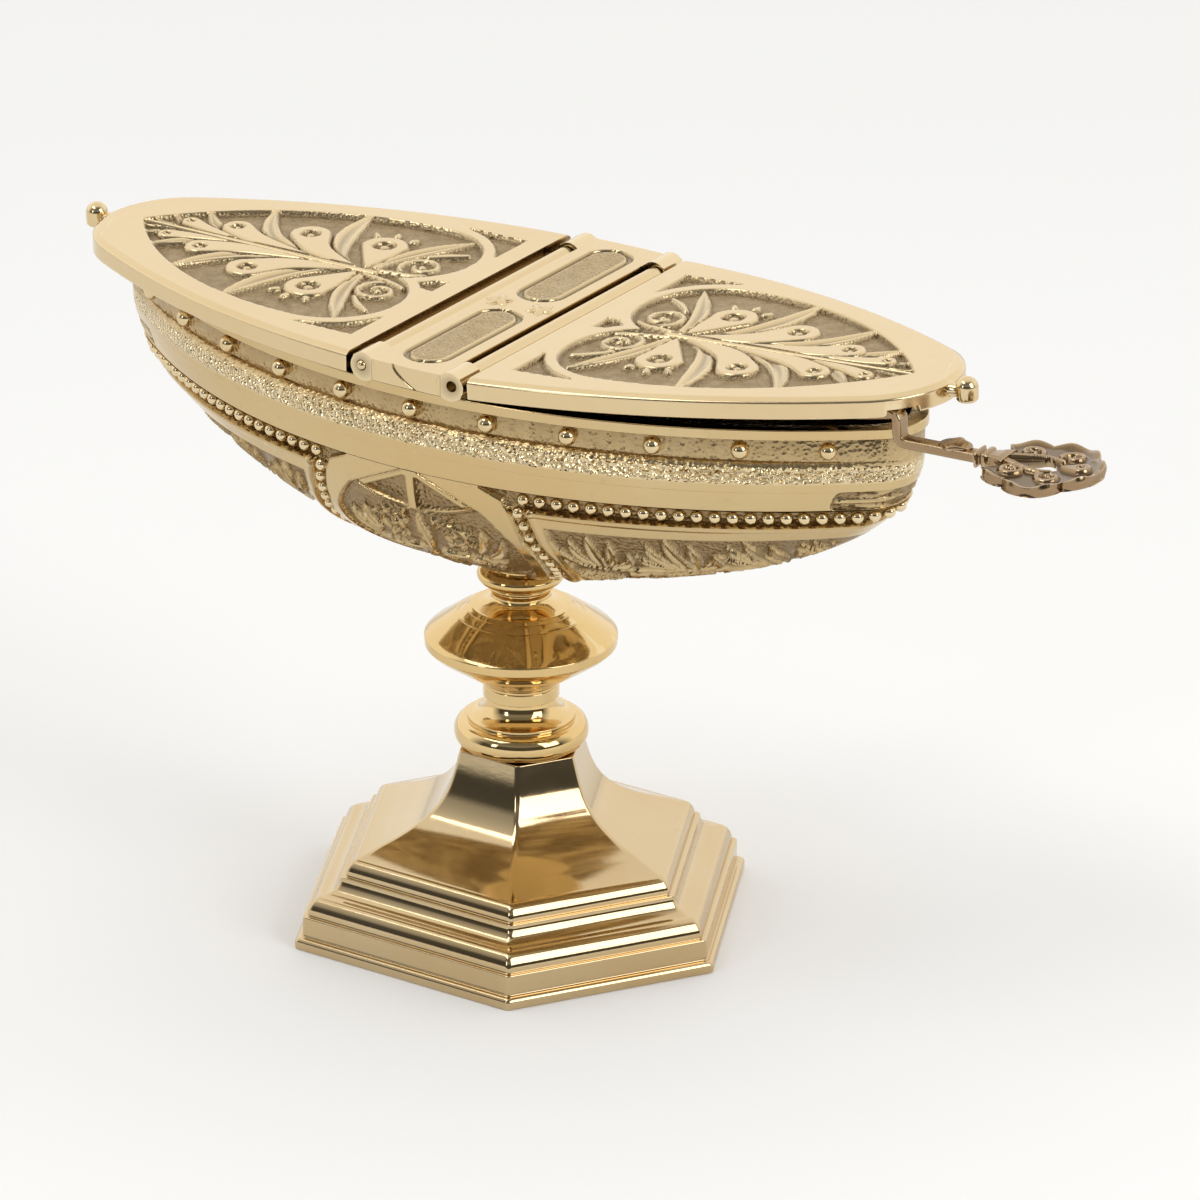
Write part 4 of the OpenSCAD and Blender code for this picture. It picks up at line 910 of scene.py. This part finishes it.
def bridgeShells(s):
    # deck as rows across, with two round-ended sunk lines and small lobed flowers; its walls carry a
    # curved seam; pierced knuckles beside it
    x = linspace(-s.deck, s.deck, 90)
    v = linspace(-1, 1, 380)
    gx, gy = x[:, None] + 0 * v, bridgeEnd(x)[:, None] * v
    outer = s.cartW / 2
    inner = outer - s.line
    toMid = hypot(gx, maximum(np.abs(np.abs(gy) - s.cartY) - (s.cartL - s.cartW) / 2, 0))
    sink = smooth(outer, outer - 0.3, toMid) * smooth(inner, inner + 0.3, toMid)
    field = smooth(inner, inner - 0.3, toMid)
    ax = np.abs(gx) - s.flowerX
    far = hypot(ax, gy)
    flower = clip(1.25 - far / (1.5 + 0.45 * cos(5 * np.arctan2(gy, ax))), 0, 1)
    height = (-s.depth * sink + field * (0.12 * grains(gx, gy, 1.0) + 0.06 * grains(gx + 3, gy, 0.6))
              + s.flowerUp * np.sqrt(flower) * (1 - 0.6 * np.exp(-(far / 0.4) ** 2)))
    # walls down from the deck's outline
    y = bridgeEnd(x)
    edge = y[-1] * v[1:-1]
    ring = join(columns(x, -y), columns(x[-1], edge), columns(x, y)[::-1], columns(x[0], edge)[::-1])
    wall = columns(ring[:, 0], ring[:, 1], linspace(s.top, s.low, 24)[:, None])
    k = (s.top - wall[..., 2]) / (s.top - s.low)
    toSeam = (wall[..., 0] + 2.4 - 4.2 * k ** 1.7) / (0.16 + 0.3 * k * (1 - k))
    seam = np.exp(-toSeam ** 2) * (np.abs(wall[..., 1]) > 30)
    wall[..., 1] *= 1 - s.seamIn * seam
    # painted shade on the end walls that look into the hinge gaps
    hingeSide = lidSet.shade * (np.abs(np.abs(wall[..., 0]) - s.deck) < 0.01) * (k > 0.05)
    base = np.stack([columns(x, -y, s.low), columns(x, y, s.low)], 1)
    # knuckle: an eased box round the hinge line, pierced for the pin
    w = fullTurn(64)
    cx, cz = lidSet.hingeX, lidSet.hingeZ
    near, top = s.deck - 0.4, s.top - 0.02
    bx, bz = (eased([[near, s.low], [s.reach, s.low], [s.reach, top], [near, top]], 0.3, 4, closed=True)
              - [cx, cz]).T
    angle = np.arctan2(bz, bx) % (2 * pi)
    order = np.argsort(angle)
    box = interp(w, angle[order], hypot(bx, bz)[order], period=2 * pi)
    loops = []
    for r, outward in ((box, False), (box, True), (s.pin, True), (s.pin, False)):
        rx = cx + r * cos(w)
        loops.append(columns(rx, bridgeEnd(rx) if outward else s.knuckleY, cz + r * sin(w)))
    knuckle = np.stack(loops)
    shells = [sheet(columns(gx, gy, s.top + height)), tube(wall), sheet(base)]
    shells += [tube(knuckle * [sx, sy, 1], True) for sx in (-1, 1) for sy in (-1, 1)]
    # painted shade inside the pin holes, half round their rims
    holes = np.tile(np.repeat([0, 0, 0.5, 1.0], len(w)), 4)
    # darkening: dirt in the sunk lines, a dark seam line, painted shade at the hinge walls and in the holes
    dirt = (clip(0.8 * sink + 0.08 * field, 0, 0.8), maximum(0.8 * seam, hingeSide), 0 * base[..., 0], holes)
    return shells, dict(ground=0.5 * field, shadeAndGrime=join(*(part.ravel() for part in dirt)))


shells, masks = bridgeShells(bridgeSet)
makePiece("bridge_deck", shells, "lidBrass", "boat", ["bridge"], masks, crease=45)

# riveted pin ends fill three of the four holes, the right front one stays open
endY = float(bridgeEnd(lidSet.hingeX)) - bridgeSet.pinSink
ends = np.array([[-1, -1, 1], [-1, 1, 1], [1, 1, 1]]) * [lidSet.hingeX, endY, lidSet.hingeZ]
makePiece("pin_ends", domes(ends, np.sign(ends) * [0, 1, 0], np.full(3, bridgeSet.pinEnd), 24, 10), "pearlBrass",
          "boat", (), crease=80)


# Spoon

spoonSet = settings(
    post=(75.8, -9.0), width=2.6, thick=1.6, armTurn=-8.9, dropTurn=-2, tailTurn=4.2, scoopX=58.0, scoopR=8.0,
    scoopH=3.2, wall=1.0, scoopZ=68.2, armX=50.6, crank=105.78, tail=101.2, bendX=17.0, bendDrop=4.7,
    collarX=13.6, plateX=7.0, plateL=5.6, finialX=25.6, finialR=8.0, lobeStep=35, hole=2.3, thickRim=1.9,
    tilt=0.9, neckEnd=6.6)
shellCurls = [((-3.9, 3.9), 2.1, 0.7, -60, 1.1), ((3.0, 4.5), 2.2, 0.7, 240, -1.1)]


def atPost(pts, turn):
    # local points turned about the post's upright axis and set on it
    w = radians(turn)
    c, s = cos(w), sin(w)
    x, y, z = np.moveaxis(np.asarray(pts, float), -1, 0)
    return columns(spoonSet.post[0] + c * x - s * y, spoonSet.post[1] + s * x + c * y, z)


def strap(path, turn, width, thick, n=24, square=0.32):
    # flat bar along a path: a rounded oblong section in the plane of the level direction across the turn
    # and the path's own normal, ends closed
    across = columns(-sin(turn), cos(turn), 0)
    tang = unit(np.gradient(path, axis=0))
    side = unit(across - (across * tang).sum(1, keepdims=True) * tang)
    up = np.cross(tang, side)
    c, s = (np.sign(v) * np.abs(v) ** square for v in (cos(fullTurn(n)), sin(fullTurn(n))))
    half, deep = (np.reshape(v, (-1, 1, 1)) / 2 for v in (width, thick))
    pts = path[:, None] + side[:, None] * c[:, None] * half + up[:, None] * s[:, None] * deep
    return tube(join(np.repeat(path[:1, None], n, 1), pts, np.repeat(path[-1:, None], n, 1)))


def handleShells(s):
    # the arm rises out of the scoop, bends under the lid, drops down the post and runs out flat;
    # a small leaf plate lies on the outer run
    n, bend = 160, s.crank - s.bendDrop
    arm = [[-s.armX, 0, s.scoopZ + s.scoopH - 0.8], [-s.bendX - 3, 0, bend - 2.9], [-s.bendX, 0, bend],
           [-s.bendX + 4, 0, bend + 1.1], [-2.2, 0, s.crank - 0.6], [-0.5, 0, s.crank - 0.1]]
    drop = [[0.25, 0, s.crank - 0.5], [0.3, 0, s.crank - 1.6], [0.3, 0, s.tail + 1.4], [0.7, 0, s.tail + 0.2]]
    out = [[2.0, 0, s.tail], [6, 0, s.tail], [s.collarX + 0.6, 0, s.tail]]
    path = smoothPath(join(atPost(arm, s.armTurn), atPost(drop, s.dropTurn), atPost(out, s.tailTurn)), n)
    turn = radians(interp(np.arange(n), [110, 135], [s.armTurn, s.tailTurn]))
    k = linspace(0, 1, 26)
    swell = sin(pi * k)
    leafPath = atPost(columns(s.plateX + s.plateL * k, 0.5, s.tail + 0.85 + 0.15 * swell), s.tailTurn)
    leafWidth = 0.3 + 4.2 * sin(pi * k ** 0.8) ** 0.7 * (1 + 0.12 * cos(14 * k))
    return [strap(path, turn, s.width, s.thick), strap(leafPath, turn[-1], leafWidth, 0.35 + 0.5 * swell)]


def scoopShell(s):
    # shallow round dish: outer cap, rounded lip, inner cap, carried round its own axis
    ball = (s.scoopR ** 2 + s.scoopH ** 2) / (2 * s.scoopH)
    caps = []
    for r in (ball, ball - s.wall):
        w = linspace(0, np.arccos(min(1, (ball - s.scoopH) / r)), 24)
        caps.append(columns(r * sin(w), s.scoopZ + ball - r * cos(w)))
    pts = lathe(eased(join(caps[0], caps[1][::-1]), 0.25), 72)
    return tube(atPost(pts + [-s.scoopX, 0, 0], s.armTurn))


def finialShells(s):
    # pierced scalloped shell on a polar grid: rim radius swells with each lobe; carved face, fluted rim wall
    # and plain back close on themselves; a necked bar joins it to the handle
    w = fullTurn(288)
    turn = np.abs(((w + pi) % (2 * pi)) - pi)
    scalloped = smooth(radians(154), radians(148), turn)
    lobes = w * 180 / s.lobeStep
    rim = s.finialR - 0.3 + scalloped * (0.5 + 1.55 * np.abs(cos(lobes / 2)) ** 0.6)
    rows = linspace(0, 1, 40)[:, None]
    hole = s.hole + 0.3 * cos(4 * w)
    rad = hole + (rim - hole) * rows
    fx, fy = (rad * cos(w)).ravel(), np.abs(rad * sin(w)).ravel()
    field = np.zeros(fx.size)
    for scroll in shellCurls:
        curl(field, fx, fy, *scroll, 0.95)
    dropLeaf(field, fx, fy, [(6.2, 0.0), (4.4, 0.0), (2.9, 0.0)], 1.5, 0.6)
    bandLeaf(field, fx, fy, [(-7, 0.9), (-4.5, 1.6), (-2.5, 2.6), (0, 3.1), (2.2, 2.4)], [1.4, 1.2, 0.9], 0.2, 0.3)
    field = field.reshape(rad.shape)
    flute = 0.5 - 0.5 * cos(lobes * 2)
    ridge = smooth(0.78, 0.96, rows) * (0.2 + 0.5 * flute * scalloped)
    lift = s.tilt * smooth(2, 10, rad * cos(w))
    t = s.thickRim / 2
    face = t * 0.45 + 0.75 * field * smooth(0.95, 0.8, rows) + ridge
    k = linspace(0, 1, 12)[1:-1, None]
    bow = sin(pi * k)
    wallR = rim + 0.25 * bow - 0.55 * (1 - flute) * scalloped * bow ** 0.7
    wallZ = face[-1] - (t + face[-1]) * k
    backZ = -t + 0.3 * smooth(0.8, 0.3, rows[::-2])
    r = join(rad, wallR, rad[::-2])
    z = join(face + lift, wallZ + lift[-1], backZ + lift[::-2])
    pts = columns(s.finialX - 0.6 + r * cos(w), r * sin(w), s.tail + z)
    k = linspace(0, 1, 44)
    px = s.collarX + k * (s.finialX - s.collarX - s.neckEnd)
    rings = 0.55 * np.exp(-((k - 0.1) / 0.05) ** 4) + 0.45 * np.exp(-((k - 0.36) / 0.1) ** 4)
    grow = 1 + rings + 1.1 * k ** 3
    path = atPost(columns(px, 0, s.tail + 0.15 * sin(pi * k)), s.tailTurn)
    neck = strap(path, radians(s.tailTurn), (s.width + 0.2) * grow, (s.thick + 0.1) * minimum(grow, 1.55))
    # dirt with painted shade between the carved parts and round the hole; painted shade on the back
    dirt = 0.75 * smooth(0.5, 0.1, field) * smooth(0.98, 0.8, rows) + 0.3 * smooth(0.12, 0, rows)
    dirt = join(clip(dirt, 0, 0.8), 0 * wallR, 0.3 + 0 * rad[::-2])
    return [tube(atPost(pts, s.tailTurn), True), neck], dict(shadeAndGrime=dirt)


makePiece("spoon_arm", handleShells(spoonSet), "spoonBrass", "spoon", ["spoon_handle"], crease=50)
makePiece("spoon_scoop", [scoopShell(spoonSet)], "spoonBrass", "spoon", ["spoon_bowl"])
shells, masks = finialShells(spoonSet)
makePiece("spoon_shell", shells, "spoonBrass", "spoon", ["spoon_finial"], masks, crease=60)

# small fixings keep their solids and get a finish
for key in ("foot_washer", "foot_nut", "tie_rod", "bridge_pegs", "left_hinge_pin", "right_hinge_pin"):
    cadNodes[key].data.materials.clear()
    cadNodes[key].data.materials.append(finishes["fixingBrass"])
print("fixings finished")


# Studio

studioSet = settings(
    floor=(0.95, 0.955, 0.96), floorHalf=4, floorRough=0.8, floorShine=0.1, tint=(1, 0.985, 0.955),
    facing=(0.547, -0.837, 0), aim=(0.0096, 0.0085, 0.0534), distance=1.5, azimuth=33.2, elevation=22.6,
    lens=280.0, lampAim=(0, 0, 0.06))
# grey levels of the room by height looked at: behind the boat, and in front of it
paleRoom = [(0.0, 1.05), (0.1, 1.18), (0.5, 1.18), (0.8, 1.1), (1.0, 1.1)]
darkRoom = [(0.0, 0.3), (0.03, 0.08), (0.34, 0.09), (0.48, 0.32), (0.7, 0.2), (0.93, 0.22), (1.0, 0.9)]
# turn from +X and rise above the floor in degrees, distance and size in metres, watts
lamps = dict(rightLamp=settings(turn=-4, rise=30, far=1.3, size=(0.62, 0.9), power=6.0),
             leftLamp=settings(turn=-126, rise=60, far=1.4, size=(0.8, 0.42), power=3.2),
             lowLamp=settings(turn=-104, rise=20, far=1.5, size=(0.22, 0.45), power=1.3))


def studioFloor(s):
    # broad level sheet, a grid of even squares
    u = linspace(-s.floorHalf, s.floorHalf, 17)
    verts, quads = sheet(columns(u[:, None], u, 0))
    mesh = bpy.data.meshes.new("studio_floor")
    mesh.from_pydata(verts.tolist(), [], quads.tolist())
    mat = bpy.data.materials.new("paleFloor")
    mat.use_nodes = True
    shader = mat.node_tree.nodes["Principled BSDF"]
    for key, value in (("Base Color", s.floor), ("Roughness", s.floorRough), ("Specular IOR Level", s.floorShine)):
        plug(mat.node_tree, shader.inputs[key], value)
    mesh.materials.append(mat)
    obj = bpy.data.objects.new("studio_floor", mesh)
    scene.collection.objects.link(obj)


def greyRamp(tree, value, stops):
    # grey read off a ramp of (place, level) stops
    node = addNode(tree, "ShaderNodeValToRGB", value)
    while len(node.color_ramp.elements) < len(stops):
        node.color_ramp.elements.new(0.5)
    for element, (place, level) in zip(node.color_ramp.elements, stops):
        element.position = place
        element.color = (*(level * part for part in studioSet.tint), 1)
    return node.outputs[0]


def studioWorld(s):
    # pale room behind the boat, dark room in front of it up to a third of the height,
    # both by the direction looked in
    world = bpy.data.worlds.new("studio")
    world.use_nodes = True
    scene.world = world
    tree = world.node_tree
    coords = addNode(tree, "ShaderNodeTexCoord").outputs["Generated"]
    high = addNode(tree, "ShaderNodeSeparateXYZ", coords).outputs["Z"]
    facing = addNode(tree, "ShaderNodeVectorMath", coords, s.facing, operation="DOT_PRODUCT").outputs["Value"]
    room = mixed(tree, rescale(tree, facing, -0.15, 0.35, 0, 1), greyRamp(tree, high, paleRoom),
                 greyRamp(tree, high, darkRoom))
    plug(tree, tree.nodes["Background"].inputs["Color"], room)
    plug(tree, tree.nodes["Background"].inputs["Strength"], 1.0)


def lookBack(obj, aim, turn, rise, far):
    # stands far from the aim along a ray at a turn from +X and a rise above the floor, and looks back along it
    w, e = radians(turn), radians(rise)
    ray = Vector((cos(w) * cos(e), sin(w) * cos(e), sin(e)))
    obj.location = Vector(aim) + ray * far
    obj.rotation_euler = (-ray).to_track_quat("-Z", "Y").to_euler()
    scene.collection.objects.link(obj)


studioFloor(studioSet)
studioWorld(studioSet)
for name, lamp in lamps.items():
    light = bpy.data.lights.new(name, "AREA")
    light.shape = "RECTANGLE"
    light.size, light.size_y = lamp.size
    light.energy = lamp.power
    lookBack(bpy.data.objects.new(name, light), studioSet.lampAim, lamp.turn, lamp.rise, lamp.far)

camData = bpy.data.cameras.new("camera")
camData.lens = studioSet.lens
camData.sensor_width = 36
camData.clip_end = 20
camera = bpy.data.objects.new("camera", camData)
lookBack(camera, studioSet.aim, studioSet.azimuth - 90, studioSet.elevation, studioSet.distance)
scene.camera = camera
scene.view_settings.view_transform = "Standard"
print("studio lit")
